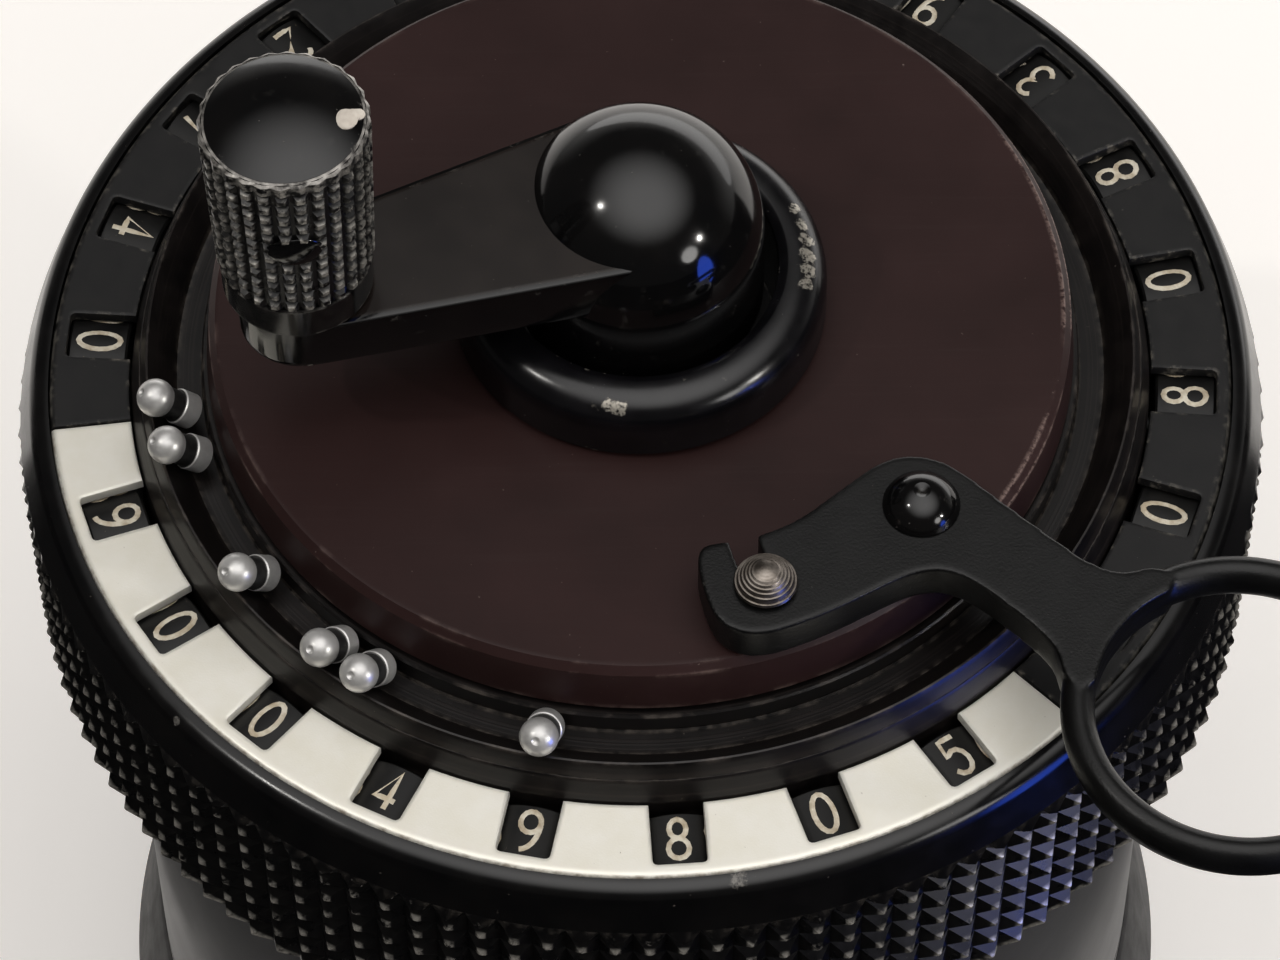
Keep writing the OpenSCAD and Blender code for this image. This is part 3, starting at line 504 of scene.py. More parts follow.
def looseObject(name, bm):
    mesh = bpy.data.meshes.new(name)
    bm.to_mesh(mesh)
    bm.free()
    made = bpy.data.objects.new(name, mesh)
    scene.collection.objects.link(made)
    return made


def settled(made):  # the object's modifiers worked into a new bmesh
    bm = bmesh.new()
    bm.from_object(made, bpy.context.evaluated_depsgraph_get())
    mesh = made.data
    bpy.data.objects.remove(made)
    bpy.data.meshes.remove(mesh)
    return bm


def rounded(bm, width, segments, sharp):  # edges sharper than this many degrees get a radius
    made = looseObject("rounded", bm)
    step = made.modifiers.new("rounding", 'BEVEL')
    step.width = width
    step.segments = segments
    step.limit_method = 'ANGLE'
    step.angle_limit = math.radians(sharp)
    bpy.context.view_layer.update()
    return settled(made)


def melted(bm, voxel, rounds):  # pieces run together into one skin
    made = looseObject("melted", bm)
    skin = made.modifiers.new("skin", 'REMESH')
    skin.mode = 'VOXEL'
    skin.voxel_size = voxel
    calm = made.modifiers.new("calm", 'SMOOTH')
    calm.factor = 0.5
    calm.iterations = rounds
    bpy.context.view_layer.update()
    return settled(made)


def carve(bm, cutter):
    tidy(bm)
    tidy(cutter)
    block = looseObject("carveBlock", bm)
    tool = looseObject("carveTool", cutter)
    step = block.modifiers.new("carve", 'BOOLEAN')
    step.operation = 'DIFFERENCE'
    step.solver = 'EXACT'
    step.object = tool
    bpy.context.view_layer.update()
    result = settled(block)
    mesh = tool.data
    bpy.data.objects.remove(tool)
    bpy.data.meshes.remove(mesh)
    return result


wearGain = 2.4


def markWear(mesh):  # outward bends wear bright, inward bends keep dust
    bm = bmesh.new()
    bm.from_mesh(mesh)
    wear, dust = [], []
    for vert in bm.verts:
        bends = [e.calc_face_angle_signed(0.0) for e in vert.link_edges if len(e.link_faces) == 2]
        bend = wearGain * sum(bends) / max(len(bends), 1)
        wear.append(min(max(bend, 0.0), 1.0))
        dust.append(min(max(-bend, 0.0), 1.0))
    bm.free()
    mesh.attributes.new("edgeWear", 'FLOAT', 'POINT').data.foreach_set("value", wear)
    mesh.attributes.new("creaseDust", 'FLOAT', 'POINT').data.foreach_set("value", dust)


def finishPiece(name, bm, finishes, body, nodes, crease=32, clean=True):
    if clean:
        tidy(bm)
    bmesh.ops.scale(bm, vec=toMetres, verts=bm.verts)
    made = looseObject(name, bm)
    mesh = made.data
    for finish in finishes:
        mesh.materials.append(finish)
    mesh.shade_smooth()
    mesh.set_sharp_from_angle(angle=math.radians(crease))
    markWear(mesh)
    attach(made, body)
    if nodes:
        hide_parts(*nodes)
    return made


# Knurled carriage ring with its rounded rim
ringSize = dict(bottom=44.5, knurlTop=57.3, root=31.7, tip=32.48, columns=120, rows=7.5, tipFlat=0.1,
                core=31.4, rim=32.25, rimLow=57.5, rimRound=1.1, rimLean=20, runOut=(0.1, 0.8, 1.7),
                flare=(-0.06, 0.22), slack=0.1, top=60.0, seat=58.8, seatRadius=30.6, bore=30.25,
                flangeTop=45.9, flangeBore=21.2)


def makeKnurledRing():
    s = ringSize
    bm = bmesh.new()
    pitch = (s["knurlTop"] - s["bottom"]) / s["rows"]
    nearBottom, nearTop = s["bottom"] + s["slack"], s["knurlTop"] - s["slack"]
    rows = range(math.ceil(s["rows"]) + 1)
    spinFull(bm, chain(bm, [(s["root"], 0, s["bottom"] + i * pitch) for i in rows]), s["columns"])
    bmesh.ops.recalc_face_normals(bm, faces=bm.faces)
    tips = bmesh.ops.poke(bm, faces=bm.faces[:], offset=s["tip"] - s["root"])["verts"]
    bmesh.ops.bevel(bm, geom=[v for v in tips if v.co.z < nearTop], offset=s["tipFlat"],
                    offset_type='OFFSET', segments=1, profile=0.5, affect='VERTICES', material=-1)
    bmesh.ops.bisect_plane(bm, geom=bm.verts[:] + bm.edges[:] + bm.faces[:], dist=1e-4, clear_outer=True,
                           plane_co=(0, 0, s["knurlTop"]), plane_no=(0, 0, 1))
    ends = [e for e in bm.edges if e.is_boundary]
    bmesh.ops.subdivide_edges(bm, edges=[e for e in ends if e.verts[0].co.z < nearBottom], cuts=3)
    bmesh.ops.subdivide_edges(bm, edges=[e for e in ends if e.verts[0].co.z > nearTop], cuts=1)
    lift, drop, bias = s["runOut"]
    for vert in {v for e in bm.edges if e.is_boundary for v in e.verts if v.co.z > nearTop}:
        share = (vert.co.xy.length - s["root"]) / (s["tip"] - s["root"])
        vert.co.z += lift - drop * min(1.0, bias * share)  # grooves run out upwards on the rim
        reach = s["rim"] + s["flare"][0] + s["flare"][1] * share
        vert.co.xy = vert.co.xy.normalized() * max(reach, vert.co.xy.length)
    grown = bmesh.ops.extrude_edge_only(bm, edges=[e for e in bm.edges if e.is_boundary])["geom"]
    steps = 4 * s["columns"]
    for vert in [g for g in grown if isinstance(g, bmesh.types.BMVert)]:
        turn = round(math.atan2(vert.co.y, vert.co.x) * steps / (2 * math.pi)) * 2 * math.pi / steps
        low = vert.co.z < nearBottom
        reach = s["core"] if low else s["rim"]
        vert.co = (reach * math.cos(turn), reach * math.sin(turn), s["bottom"] if low else s["rimLow"])
    centre = (s["seatRadius"], s["top"] - s["rimRound"])
    lathe(bm, [(s["rim"], s["rimLow"])] + arcLine(centre, s["rimRound"], s["rimLean"], 90, 12)
          + [(s["seatRadius"], s["seat"]), (s["bore"], s["seat"]), (s["bore"], s["flangeTop"]),
             (s["flangeBore"], s["flangeTop"]), (s["flangeBore"], s["bottom"]), (s["core"], s["bottom"])],
          steps)
    tidy(bm)
    for face in bm.faces:
        face.material_index = 0 if max(v.co.z for v in face.verts) > s["rimLow"] - touch else 1
    finishPiece("knurledRing", bm, (rimGloss, knurlBlack), "carriage", ["knurled_ring"], 28)


makeKnurledRing()
print("knurled ring made")


# Register faces: one flat comb with a window cut in from its inner edge for each dial
faceSize = dict(outer=30.55, inner=26.4, top=60.0, bottom=58.85, window=2.7, windowOuter=29.75, edge=0.12,
                outerEdge=0.34, corner=0.25, room=0.15, grime=0.1, halfAngle=63.75, seam=0.12, hold=0.12,
                steps=120, toothSteps=6)
dialSize = dict(radius=3.16, near=26.65, far=29.75, level=56.4, axle=0.8, axleEnd=23.6, stroke=0.15,
                flat=0.22, figureMiddle=28.15, figureStep=36, narrow=0.9, edge=0.12, steps=60)
windowPitch = 15  # degrees, also between the setting slides
counterAngles = [(3.5 - i) * windowPitch for i in range(8)]
resultAngles = [180 + (7 - i) * windowPitch for i in range(15)]


def faceOutline(start, stop, angles):
    s = faceSize
    half = s["window"] / 2
    reach = math.sqrt(s["inner"] ** 2 - half ** 2)
    notch = math.degrees(math.asin(half / s["inner"]))
    points = [place(start + (stop - start) * i / s["steps"], s["outer"]) for i in range(s["steps"] + 1)]
    edges = [edge for a in sorted(angles, reverse=True) for edge in (a + notch, a - notch)]
    stops = [stop] + edges + [start]
    for i in range(0, len(stops), 2):
        high, low = stops[i], stops[i + 1]
        tooth = [high + (low - high) * j / s["toothSteps"] for j in range(s["toothSteps"] + 1)]
        points += [place(a, s["inner"]) for a in tooth]
        if i + 2 < len(stops):
            turn = Matrix.Rotation(math.radians((low + stops[i + 2]) / 2), 3, 'Z')
            points += [turn @ Vector((x, -s["windowOuter"], 0)) for x in (half, -half)]
    return [(p.x, p.y) for p in points]


def dialCutter(angles, radius, near, far):  # room for a dial or its axle at each angle
    cutter = bmesh.new()
    for angle in angles:
        part = bmesh.new()
        lathe(part, [(0, near), (radius, near), (radius, far), (0, far)], 48)
        tidy(part)
        join(cutter, moved(part, standAt(angle, 0, dialSize["level"]) @ lying))
    return cutter


def makeRegisterFace(name, start, stop, angles, finish, node):
    s = faceSize
    bm = bmesh.new()
    prism(bm, faceOutline(start + s["seam"], stop - s["seam"], angles), s["bottom"], s["top"])
    tidy(bm)
    corner = math.hypot(s["windowOuter"], s["window"] / 2)
    upright = [e for e in bm.edges if (e.verts[0].co.xy - e.verts[1].co.xy).length < touch / 10]
    soften(bm, [e for e in upright if abs(e.verts[0].co.xy.length - corner) < touch], s["corner"], 3)
    room = s["room"]
    bm = carve(bm, dialCutter(angles, dialSize["radius"] + room, s["inner"] - 1, s["windowOuter"] + room))
    rim = [e for e in bm.edges if min(v.co.z for v in e.verts) > s["top"] - touch]
    outer = [e for e in rim if min(v.co.xy.length for v in e.verts) > s["outer"] - touch]
    soften(bm, outer, s["outerEdge"], 4)
    rim = [e for e in bm.edges if min(v.co.z for v in e.verts) > s["top"] - touch]
    inner = [e for e in rim if min(v.co.xy.length for v in e.verts) < corner + s["corner"]]
    soften(bm, inner, s["edge"], 2, False)
    lid = [f for f in bm.faces if f.normal.z > 0.99 and len(f.verts) > 40]
    bmesh.ops.inset_region(bm, faces=lid, thickness=s["hold"], use_even_offset=True)
    made = finishPiece(name, bm, (finish,), "carriage", [node])
    dirt = made.data.attributes["creaseDust"].data
    for vert in made.data.vertices:  # grime along the joint with the rim
        if vert.co.xy.length > (s["outer"] - s["grime"]) / 1000:
            dirt[vert.index].value = 1.0


makeRegisterFace("counterFace", -faceSize["halfAngle"], faceSize["halfAngle"], counterAngles, silverFace,
                 "counter_face")
makeRegisterFace("resultFace", faceSize["halfAngle"], 360 - faceSize["halfAngle"], resultAngles, blackMatte,
                 "result_face")
print("register faces made")


# Number dials: a drum with ten raised figures, and its axle
counterShown = (5, 0, 8, 9, 4, 0, 0, 9)
resultShown = (0, 4, 7, 2, 0, 0, 0, 0, 9, 3, 8, 0, 8, 0, 6)


def bow(x, y, rx, ry, start, stop, steps=8):
    angles = [math.radians(start + (stop - start) * i / steps) for i in range(steps + 1)]
    return [(x + rx * math.cos(a), y + ry * math.sin(a)) for a in angles]


def bar(start, stop, steps=3):
    return [(start[0] + (stop[0] - start[0]) * i / steps, start[1] + (stop[1] - start[1]) * i / steps)
            for i in range(steps + 1)]


def figureStrokes(figure):  # centre lines of a figure about 1.2 wide and 2.2 high
    if figure == 0:
        return [bow(0, 0, 0.58, 1.1, 90, 450, 16)]
    if figure == 1:
        return [[(-0.3, 0.72), (0.08, 1.1)] + bar((0.08, 1.1), (0.08, -1.1))[1:]]
    if figure == 2:
        return [bow(0, 0.52, 0.56, 0.58, 165, -35, 8) + bar((-0.58, -1.1), (0.6, -1.1))]
    if figure == 3:
        return [bow(0, 0.56, 0.5, 0.54, 150, -90, 8) + bow(0, -0.52, 0.58, 0.58, 80, -155, 8)]
    if figure == 4:
        return [bar((0.26, -1.1), (0.26, 1.1), 2) + bar((-0.62, -0.5), (0.64, -0.5), 4)]
    if figure == 5:
        return [bar((0.5, 1.1), (-0.4, 1.1)) + [(-0.48, 0.2)] + bow(0, -0.36, 0.58, 0.74, 128, -150, 9)]
    if figure == 6:
        return [bow(0, -0.5, 0.57, 0.6, 180, 540, 14), bow(0.36, -0.4, 0.93, 1.5, 180, 92, 6)]
    if figure == 7:
        return [bar((-0.56, 1.1), (0.58, 1.1)) + [(-0.14, -1.1)]]
    if figure == 8:
        return [bow(0, 0.57, 0.47, 0.53, 90, 450, 12), bow(0, -0.53, 0.58, 0.57, 90, 450, 12)]
    return [bow(0, 0.5, 0.57, 0.6, 0, 360, 14), bow(-0.36, 0.4, 0.93, 1.5, 0, -88, 6)]


def figureMesh(figure):
    curve = bpy.data.curves.new("figure", 'CURVE')
    curve.dimensions = '3D'
    curve.bevel_depth = dialSize["stroke"]
    curve.bevel_resolution = 0
    curve.use_fill_caps = True
    for stroke in figureStrokes(figure):
        endless = math.dist(stroke[0], stroke[-1]) < 1e-3
        points = stroke[:-1] if endless else stroke
        line = curve.splines.new('POLY')
        line.points.add(len(points) - 1)
        line.use_cyclic_u = endless
        for point, (x, y) in zip(line.points, points):
            point.co = (x, y, 0, 1)
    made = bpy.data.objects.new("figure", curve)
    scene.collection.objects.link(made)
    bpy.context.view_layer.update()
    mesh = bpy.data.meshes.new_from_object(made.evaluated_get(bpy.context.evaluated_depsgraph_get()))
    bpy.data.objects.remove(made)
    bpy.data.curves.remove(curve)
    return mesh


figureMeshes = [figureMesh(figure) for figure in range(10)]


def makeDial(name, angle, shown, node):
    s = dialSize
    bm = bmesh.new()
    edge = s["radius"] - s["edge"]
    lathe(bm, [(s["axle"], s["axleEnd"]), (s["axle"], s["near"]), (edge, s["near"]),
               (s["radius"], s["near"] + s["edge"]), (s["radius"], s["far"] - s["edge"]), (edge, s["far"]),
               (0, s["far"]), (0, s["axleEnd"])], s["steps"], True)
    tidy(bm)
    for figure in range(10):
        knownVerts, knownFaces = set(bm.verts), set(bm.faces)
        bm.from_mesh(figureMeshes[figure])
        for vert in set(bm.verts) - knownVerts:
            bend = vert.co.x * s["narrow"] / s["radius"] + math.radians(s["figureStep"] * (figure - shown))
            reach = s["radius"] + vert.co.z * s["flat"]
            vert.co = (reach * math.sin(bend), reach * math.cos(bend), s["figureMiddle"] - vert.co.y)
        for face in set(bm.faces) - knownFaces:
            face.material_index = 1
    bmesh.ops.recalc_face_normals(bm, faces=bm.faces)
    moved(bm, standAt(angle, 0, s["level"]) @ lying)
    finishPiece(name, bm, (dialBlack, digitWhite), node + "_wheel", [node], 40, False)


for i, angle in enumerate(counterAngles):
    makeDial(f"counterDial{i + 1}", angle, counterShown[i], f"counter_dial_{i + 1}")
for i, angle in enumerate(resultAngles):
    makeDial(f"resultDial{i + 1}", angle, resultShown[i], f"result_dial_{i + 1:02d}")
print("dials made")


# Sloping step, marker groove and the carriage's inside
markerRingSize = dict(seat=26.3, faceTop=60.0, slopeFoot=26.35, lip=25.4, lipTop=62.2, line=61.16,
                      grooveFloor=60.6, grooveInner=22.55, deck=61.9, wall=21.0, floorLow=51.2,
                      floorTop=52.6, outer=30.25, webTop=53.8, hub=10.65, hubBore=8.25, room=0.15, soft=0.1,
                      through=0.5, footEase=0.06, step=((0.45, 0), (0.4, 0.08), (0.36, 0.08)),
                      crest=((0.08, -0.18), (0, -0.04), (-0.1, -0.02), (-0.2, -0.12)),
                      toe=((0.25, 0.25), (0.1, 0.03), (-0.1, 0)))


def makeMarkerRing():
    s = markerRingSize
    bm = bmesh.new()
    slopeInner = s["lip"] - (s["lipTop"] - s["grooveFloor"])
    lathe(bm, [(s["hubBore"], s["floorLow"]), (s["outer"], s["floorLow"]), (s["outer"], s["floorTop"]),
               (s["seat"], s["floorTop"]), (s["seat"], s["faceTop"] - s["soft"]),
               (s["slopeFoot"] - s["footEase"], s["faceTop"])]
          + shifted(s["step"], s["lip"], s["line"]) + shifted(s["crest"], s["lip"], s["lipTop"])
          + shifted(s["toe"], slopeInner, s["grooveFloor"])
          + [(s["grooveInner"] + s["soft"], s["grooveFloor"]),
             (s["grooveInner"], s["grooveFloor"] + s["soft"]), (s["grooveInner"], s["deck"] - s["soft"]),
             (s["grooveInner"] - s["soft"], s["deck"]), (s["wall"], s["deck"]), (s["wall"], s["webTop"]),
             (s["hub"], s["webTop"]), (s["hub"], s["deck"]), (s["hubBore"], s["deck"])], 240, True)
    axles = dialCutter(counterAngles + resultAngles, dialSize["axle"] + s["room"],
                       dialSize["axleEnd"] - s["room"], s["seat"] + s["through"])
    bm = carve(bm, axles)
    finishPiece("markerRing", bm, (ringBrown,), "carriage", ["marker_ring"], 30)


makeMarkerRing()

markerSize = dict(angles=(-61.2, -54.4, -34.7, -20.6, -14.9, 7.3), distance=25.0, level=63.35, ball=0.98,
                  neck=0.8, neckEnd=-1.35, base=0.93, foot=-2.4, tilt=45, edge=0.08, lip=0.06, ease=0.02,
                  hold=0.06, dimple=[(0.22, 0.945), (0.17, 0.91), (0.1, 0.85), (0, 0.83)])


def makeMarker(number, angle):  # ball with a dimple, dark neck, bright foot in the groove
    s = markerSize
    bm = bmesh.new()
    dome = arcLine((0, 0), s["ball"], -36, 72, 18)
    lathe(bm, [(0, s["foot"]), (s["base"] - s["edge"], s["foot"]), (s["base"], s["foot"] + s["edge"]),
               (s["base"], s["neckEnd"] - s["lip"]), (s["base"] - s["lip"], s["neckEnd"]),
               (s["neck"], s["neckEnd"] + s["ease"]), (s["neck"], dome[0][1])] + dome[1:] + s["dimple"],
          40, False, s["hold"])
    tidy(bm)
    for face in bm.faces:
        dark = s["neckEnd"] < face.calc_center_median().z < dome[0][1] + s["ease"]
        face.material_index = 1 if dark else 0
    lean = Matrix.Rotation(math.radians(90 - s["tilt"]), 4, 'X')
    moved(bm, standAt(angle, s["distance"], s["level"]) @ lean)
    finishPiece(f"decimalMarker{number}", bm, (markerSteel, markerDark), f"marker_{number}",
                [f"decimal_marker_{number}"], 30)


for i, angle in enumerate(markerSize["angles"]):
    makeMarker(i + 1, angle)
print("marker ring and markers made")


# Clearing plate
plateSize = dict(radius=22.0, skirt=22.25, top=65.3, bottom=62.2, bore=8.25, bevel=0.42, ease=0.02,
                 drop=0.25, foot=((-0.15, 0), (0, 0.1), (-0.02, 0.4)), hold=(0.18, 0.6, 0.3))


def makeClearingPlate():
    s = plateSize
    bm = bmesh.new()
    edge = s["radius"] - s["bevel"]
    lathe(bm, [(s["bore"], s["bottom"])] + shifted(s["foot"], s["skirt"], s["bottom"])
          + [(s["radius"] + s["ease"], s["top"] - s["bevel"] - s["drop"]),
             (s["radius"], s["top"] - s["bevel"]), (edge + 3 * s["ease"], s["top"] - s["ease"]),
             (edge, s["top"]), (edge - s["hold"][0], s["top"]), (s["radius"] - s["hold"][1], s["top"]),
             (s["bore"] + s["hold"][2], s["top"]), (s["bore"], s["top"])],
          240, True)
    finishPiece("clearingPlate", bm, (plateBrown,), "clearing_disc", ["clearing_plate"], 22)


makeClearingPlate()

# Clearing lever, its rivet and its stud
leverSize = dict(rivetAngle=63.5, rivetDistance=19.7, turn=8.5, low=65.6, high=67.9, ringReach=19.0,
                 ringMiddle=7.95, ringWide=0.85, ringHigh=1.13, ringHole=7.15, studReach=9.0,
                 studDirection=-112.4, slotHalf=0.72, slotSweep=40, slotEnd=4.5, edge=0.42, sharp=50,
                 voxel=0.13, calm=8, ringSides=24, ringSteps=120)
leverPoints = [(-5.5, -6.3), (-4.4, -4.2), (-3.7, -1.4), (-3.1, 0.8), (-2.1, 2.1), (-0.6, 2.75),
               (1.2, 2.75), (3.2, 2.55), (6.2, 2.3), (8.4, 2.2), (10, 2.6), (11.4, 3.9), (12.6, 3.2),
               (12.6, -3.2), (11.4, -3.9), (10, -2.9), (8.4, -2.45), (6.4, -2.2), (4.6, -2.1), (3, -2.5),
               (1.9, -3.6), (1.1, -5.2), (0.3, -7), (-0.7, -8.9), (-1.8, -10.5), (-3, -11.25),
               (-4.3, -11.2), (-5.6, -10.4), (-6.8, -9.3), (-7.2, -8.5), (-6.9, -7.9)]


def smoothLoop(points, steps):
    count = len(points)
    loop = []
    for i in range(count):
        p, q, r, s = (Vector(points[(i + j) % count]) for j in (-1, 0, 1, 2))
        for j in range(steps):
            t = j / steps
            loop.append(0.5 * (2 * q + (r - p) * t + (2 * p - 5 * q + 4 * r - s) * t * t
                               + (3 * q - p - 3 * r + s) * t ** 3))
    return [(v.x, v.y) for v in loop]


def onLever():
    s = leverSize
    turn = Matrix.Rotation(math.radians(s["turn"] - 90), 4, 'Z')
    return standAt(s["rivetAngle"], s["rivetDistance"]) @ turn


def makeLever():
    s = leverSize
    bm = bmesh.new()
    prism(bm, smoothLoop(leverPoints, 5), s["low"], s["high"])
    cutter = bmesh.new()
    inner, outer = s["studReach"] - s["slotHalf"], s["studReach"] + s["slotHalf"]
    first, last = s["studDirection"] - s["slotSweep"], s["studDirection"] + s["slotEnd"]
    prism(cutter, arcLine((0, 0), outer, first, last, 16) + arcLine((0, 0), inner, last, first, 16),
          s["low"] - 1, s["high"] + 1)
    prism(cutter, arcLine((s["ringReach"], 0), s["ringHole"], 0, 360, 64)[:-1], s["low"] - 1, s["high"] + 1)
    bm = rounded(carve(bm, cutter), s["edge"], 3, s["sharp"])
    middle = (s["low"] + s["high"]) / 2
    turns = [math.radians(360 / s["ringSides"] * i) for i in range(s["ringSides"])]
    section = chain(bm, [(s["ringReach"] + s["ringMiddle"] + s["ringWide"] * math.cos(a), 0,
                          middle + s["ringHigh"] * math.sin(a)) for a in turns], True)
    spinFull(bm, section, s["ringSteps"], (s["ringReach"], 0, 0))
    bmesh.ops.recalc_face_normals(bm, faces=bm.faces)
    bm = moved(melted(bm, s["voxel"], s["calm"]), onLever())
    finishPiece("clearingLever", bm, (leverSatin,), "clearing_arm", ["clearing_lever"], 60)


makeLever()

rivetSize = dict(shank=1.2, head=1.92, low=62.2, seat=68.0, rise=1.3, edge=0.08,
                 dent=((0.3, -0.1), (0.12, -0.2), (0, -0.22)))
studSize = dict(neck=0.6, head=1.58, low=62.2, seat=68.1, rise=1.1, edge=0.1, band=0.12, rings=9,
                ringFirst=0.06, ringPitch=0.17, ringFlat=0.08, ringTilt=0.01)


def makeLeverStuds():
    s = rivetSize
    bm = bmesh.new()
    cap = (s["head"] ** 2 + s["rise"] ** 2) / (2 * s["rise"])
    reach = math.degrees(math.asin(s["head"] / cap))
    dome = arcLine((0, s["seat"] + s["rise"] - cap), cap, 90 - reach, 78, 12)
    lathe(bm, [(0, s["low"]), (s["shank"], s["low"]), (s["shank"], s["seat"]),
               (s["head"] - s["edge"], s["seat"])]
          + dome + shifted(s["dent"], 0, s["seat"] + s["rise"]), 64)
    tidy(bm)
    known = set(bm.faces)
    s = studSize
    other = bmesh.new()
    cap = (s["head"] ** 2 + s["rise"] ** 2) / (2 * s["rise"])
    line = [(0, s["low"]), (s["neck"], s["low"]), (s["neck"], s["seat"]),
            (s["head"] - s["edge"], s["seat"]), (s["head"], s["seat"] + s["band"])]
    for i in range(s["rings"]):  # turned steps on the stud's crown
        r = s["head"] - s["ringFirst"] - i * s["ringPitch"]
        height = s["seat"] + s["edge"] + s["rise"] - cap + math.sqrt(cap * cap - r * r)
        line += [(r, height), (max(r - s["ringFlat"], 0), height + s["ringTilt"])]
    lathe(other, line[:-1] + [(0, line[-1][1])], 48)
    direction = math.radians(leverSize["studDirection"])
    moved(other, Matrix.Translation((leverSize["studReach"] * math.cos(direction),
                                     leverSize["studReach"] * math.sin(direction), 0)))
    tidy(other)
    join(bm, other)
    for face in set(bm.faces) - known:
        face.material_index = 1
    finishPiece("leverStuds", moved(bm, onLever()), (blackGloss, studSteel), "clearing_disc",
                ["lever_studs"], 24, False)


makeLeverStuds()
print("clearing plate and lever made")


# Crank: hub with a ball top and a tapering arm
crankSize = dict(angle=-52.5, length=17.6, hub=6.3, hubLow=66.8, ballLevel=71.9, armLow=72.3, armTop=75.5,
                 root=5.1, end=3.1, bore=2.5, boreTop=70.8, edge=0.28, hubEdge=0.3, hold=0.2, pin=1.5,
                 pinTop=86.0, pinSink=0.5)


def makeCrankArm():
    s = crankSize
    bm = bmesh.new()
    lathe(bm, [(0, s["boreTop"]), (s["bore"], s["boreTop"]), (s["bore"], s["hubLow"]),
               (s["hub"] - s["hubEdge"], s["hubLow"]), (s["hub"], s["hubLow"] + s["hubEdge"])]
          + arcLine((0, s["ballLevel"]), s["hub"], 0, 90, 36), 128)
    tidy(bm)
    tilt = math.degrees(math.acos((s["root"] - s["end"]) / s["length"]))
    outline = (arcLine((0, -s["length"]), s["end"], -90 - tilt, tilt - 90, 24)
               + arcLine((0, 0), s["root"], tilt - 90, 270 - tilt, 36))
    known = set(bm.faces)
    prism(bm, outline, s["armLow"], s["armTop"])
    rims = {e for f in bm.faces if f not in known for e in f.edges if e.calc_face_angle(0.0) > 1.2}
    soften(bm, list(rims), s["edge"], 3)
    added = [f for f in bm.faces if f not in known]
    lid = [f for f in added if len(f.verts) > 20]
    side = [f for f in added if f.calc_area() > 0.5 and len(f.verts) == 4]
    # the tall sides keep the black gloss; the flat faces and rounded edges are painted lighter brown, a
    # painted sheen of the light from above
    for face in added:
        face.material_index = 0 if face in side else 1
    bmesh.ops.inset_individual(bm, faces=lid, thickness=s["hold"], use_even_offset=True)
    bmesh.ops.inset_region(bm, faces=side, thickness=s["hold"], use_even_offset=True)
    pin = bmesh.new()
    pinLow = s["armTop"] - s["pinSink"]
    lathe(pin, [(0, pinLow), (s["pin"], pinLow), (s["pin"], s["pinTop"]), (0, s["pinTop"])], 32)
    moved(pin, Matrix.Translation((0, -s["length"], 0)))
    tidy(pin)
    join(bm, pin)
    bmesh.ops.recalc_face_normals(bm, faces=bm.faces)
    moved(bm, standAt(s["angle"]))
    finishPiece("crankArm", bm, (blackGloss, armTopSheenAndWear), "crank", ["crank_arm"], 30, False)


makeCrankArm()

knobSize = dict(low=75.8, footTop=78.0, knurlTop=87.7, rimTop=88.5, foot=3.72, root=3.62, grow=0.26,
                depth=0.26, columns=28, rows=12, studEdge=0.1, studSlope=0.15, dome=0.9, pinBore=1.55,
                boreTop=86.3, ease=0.02, margin=0.2, capEdge=0.12, capLift=0.03, footEdge=(0.1, 0.2),
                crown=((0.12, 0.1, 0.16), (0.7, 0.12, 0.12), (0.8, 0.02, 0.06)))


def makeKnob():
    s = knobSize
    bm = bmesh.new()
    pitch = (s["knurlTop"] - s["footTop"]) / s["rows"]
    line = chain(bm, [(s["root"] + s["grow"] * i / s["rows"], 0, s["footTop"] + i * pitch)
                      for i in range(s["rows"] + 1)])
    spinFull(bm, line, s["columns"])
    bmesh.ops.recalc_face_normals(bm, faces=bm.faces)
    studs = bm.faces[:]
    bmesh.ops.inset_individual(bm, faces=studs, thickness=s["studEdge"], depth=0.0, use_even_offset=True)
    bmesh.ops.inset_individual(bm, faces=studs, thickness=s["studSlope"], depth=s["depth"],
                               use_even_offset=True)
    top = s["root"] + s["grow"]
    wave = []
    count = 4 * s["columns"]
    for lift, grow, swing in ((0, 0, 0),) + s["crown"]:  # the rim's edge follows the columns
        radius = top + grow
        ring = bmesh.ops.create_circle(bm, cap_ends=False, radius=radius, segments=count)["verts"]
        for vert in ring:
            turn = math.atan2(vert.co.y, vert.co.x)
            reach = radius + swing * (0.5 - 0.5 * math.cos(s["columns"] * turn))
            vert.co = (reach * math.cos(turn), reach * math.sin(turn), s["knurlTop"] + lift)
        wave.append([e for e in bm.edges if all(v in set(ring) for v in e.verts)])
    for first, second in zip(wave, wave[1:]):
        bmesh.ops.bridge_loops(bm, edges=first + second)
    radius = top + s["ease"]
    cap = (radius ** 2 + s["dome"] ** 2) / (2 * s["dome"])
    capEdge = radius - s["capEdge"]
    reach = math.degrees(math.asin(capEdge / cap))
    lathe(bm, [(radius, s["rimTop"]), (capEdge, s["rimTop"] + s["capLift"])]
          + arcLine((0, s["rimTop"] + s["dome"] - cap), cap, 90 - reach, 90, 14), count)
    upper, lower = s["footEdge"]
    lathe(bm, [(s["root"], s["footTop"]), (s["foot"], s["footTop"] - upper), (s["foot"], s["low"] + lower),
               (s["foot"] - lower, s["low"]), (s["pinBore"], s["low"]), (s["pinBore"], s["boreTop"]),
               (0, s["boreTop"])], count)
    tidy(bm)
    for face in bm.faces:
        middle = face.calc_center_median()
        outside = middle.xy.length > s["root"] - s["margin"]
        if outside and s["rimTop"] - s["margin"] < middle.z < s["rimTop"] + s["ease"]:
            face.material_index = 2
        elif outside and s["footTop"] - touch < middle.z < s["rimTop"]:
            face.material_index = 1
    moved(bm, standAt(crankSize["angle"], crankSize["length"]))
    finishPiece("crankKnob", bm, (blackGloss, knobKnurl, rimWorn), "crank_grip", ["crank_knob"],
                30, False)


makeKnob()

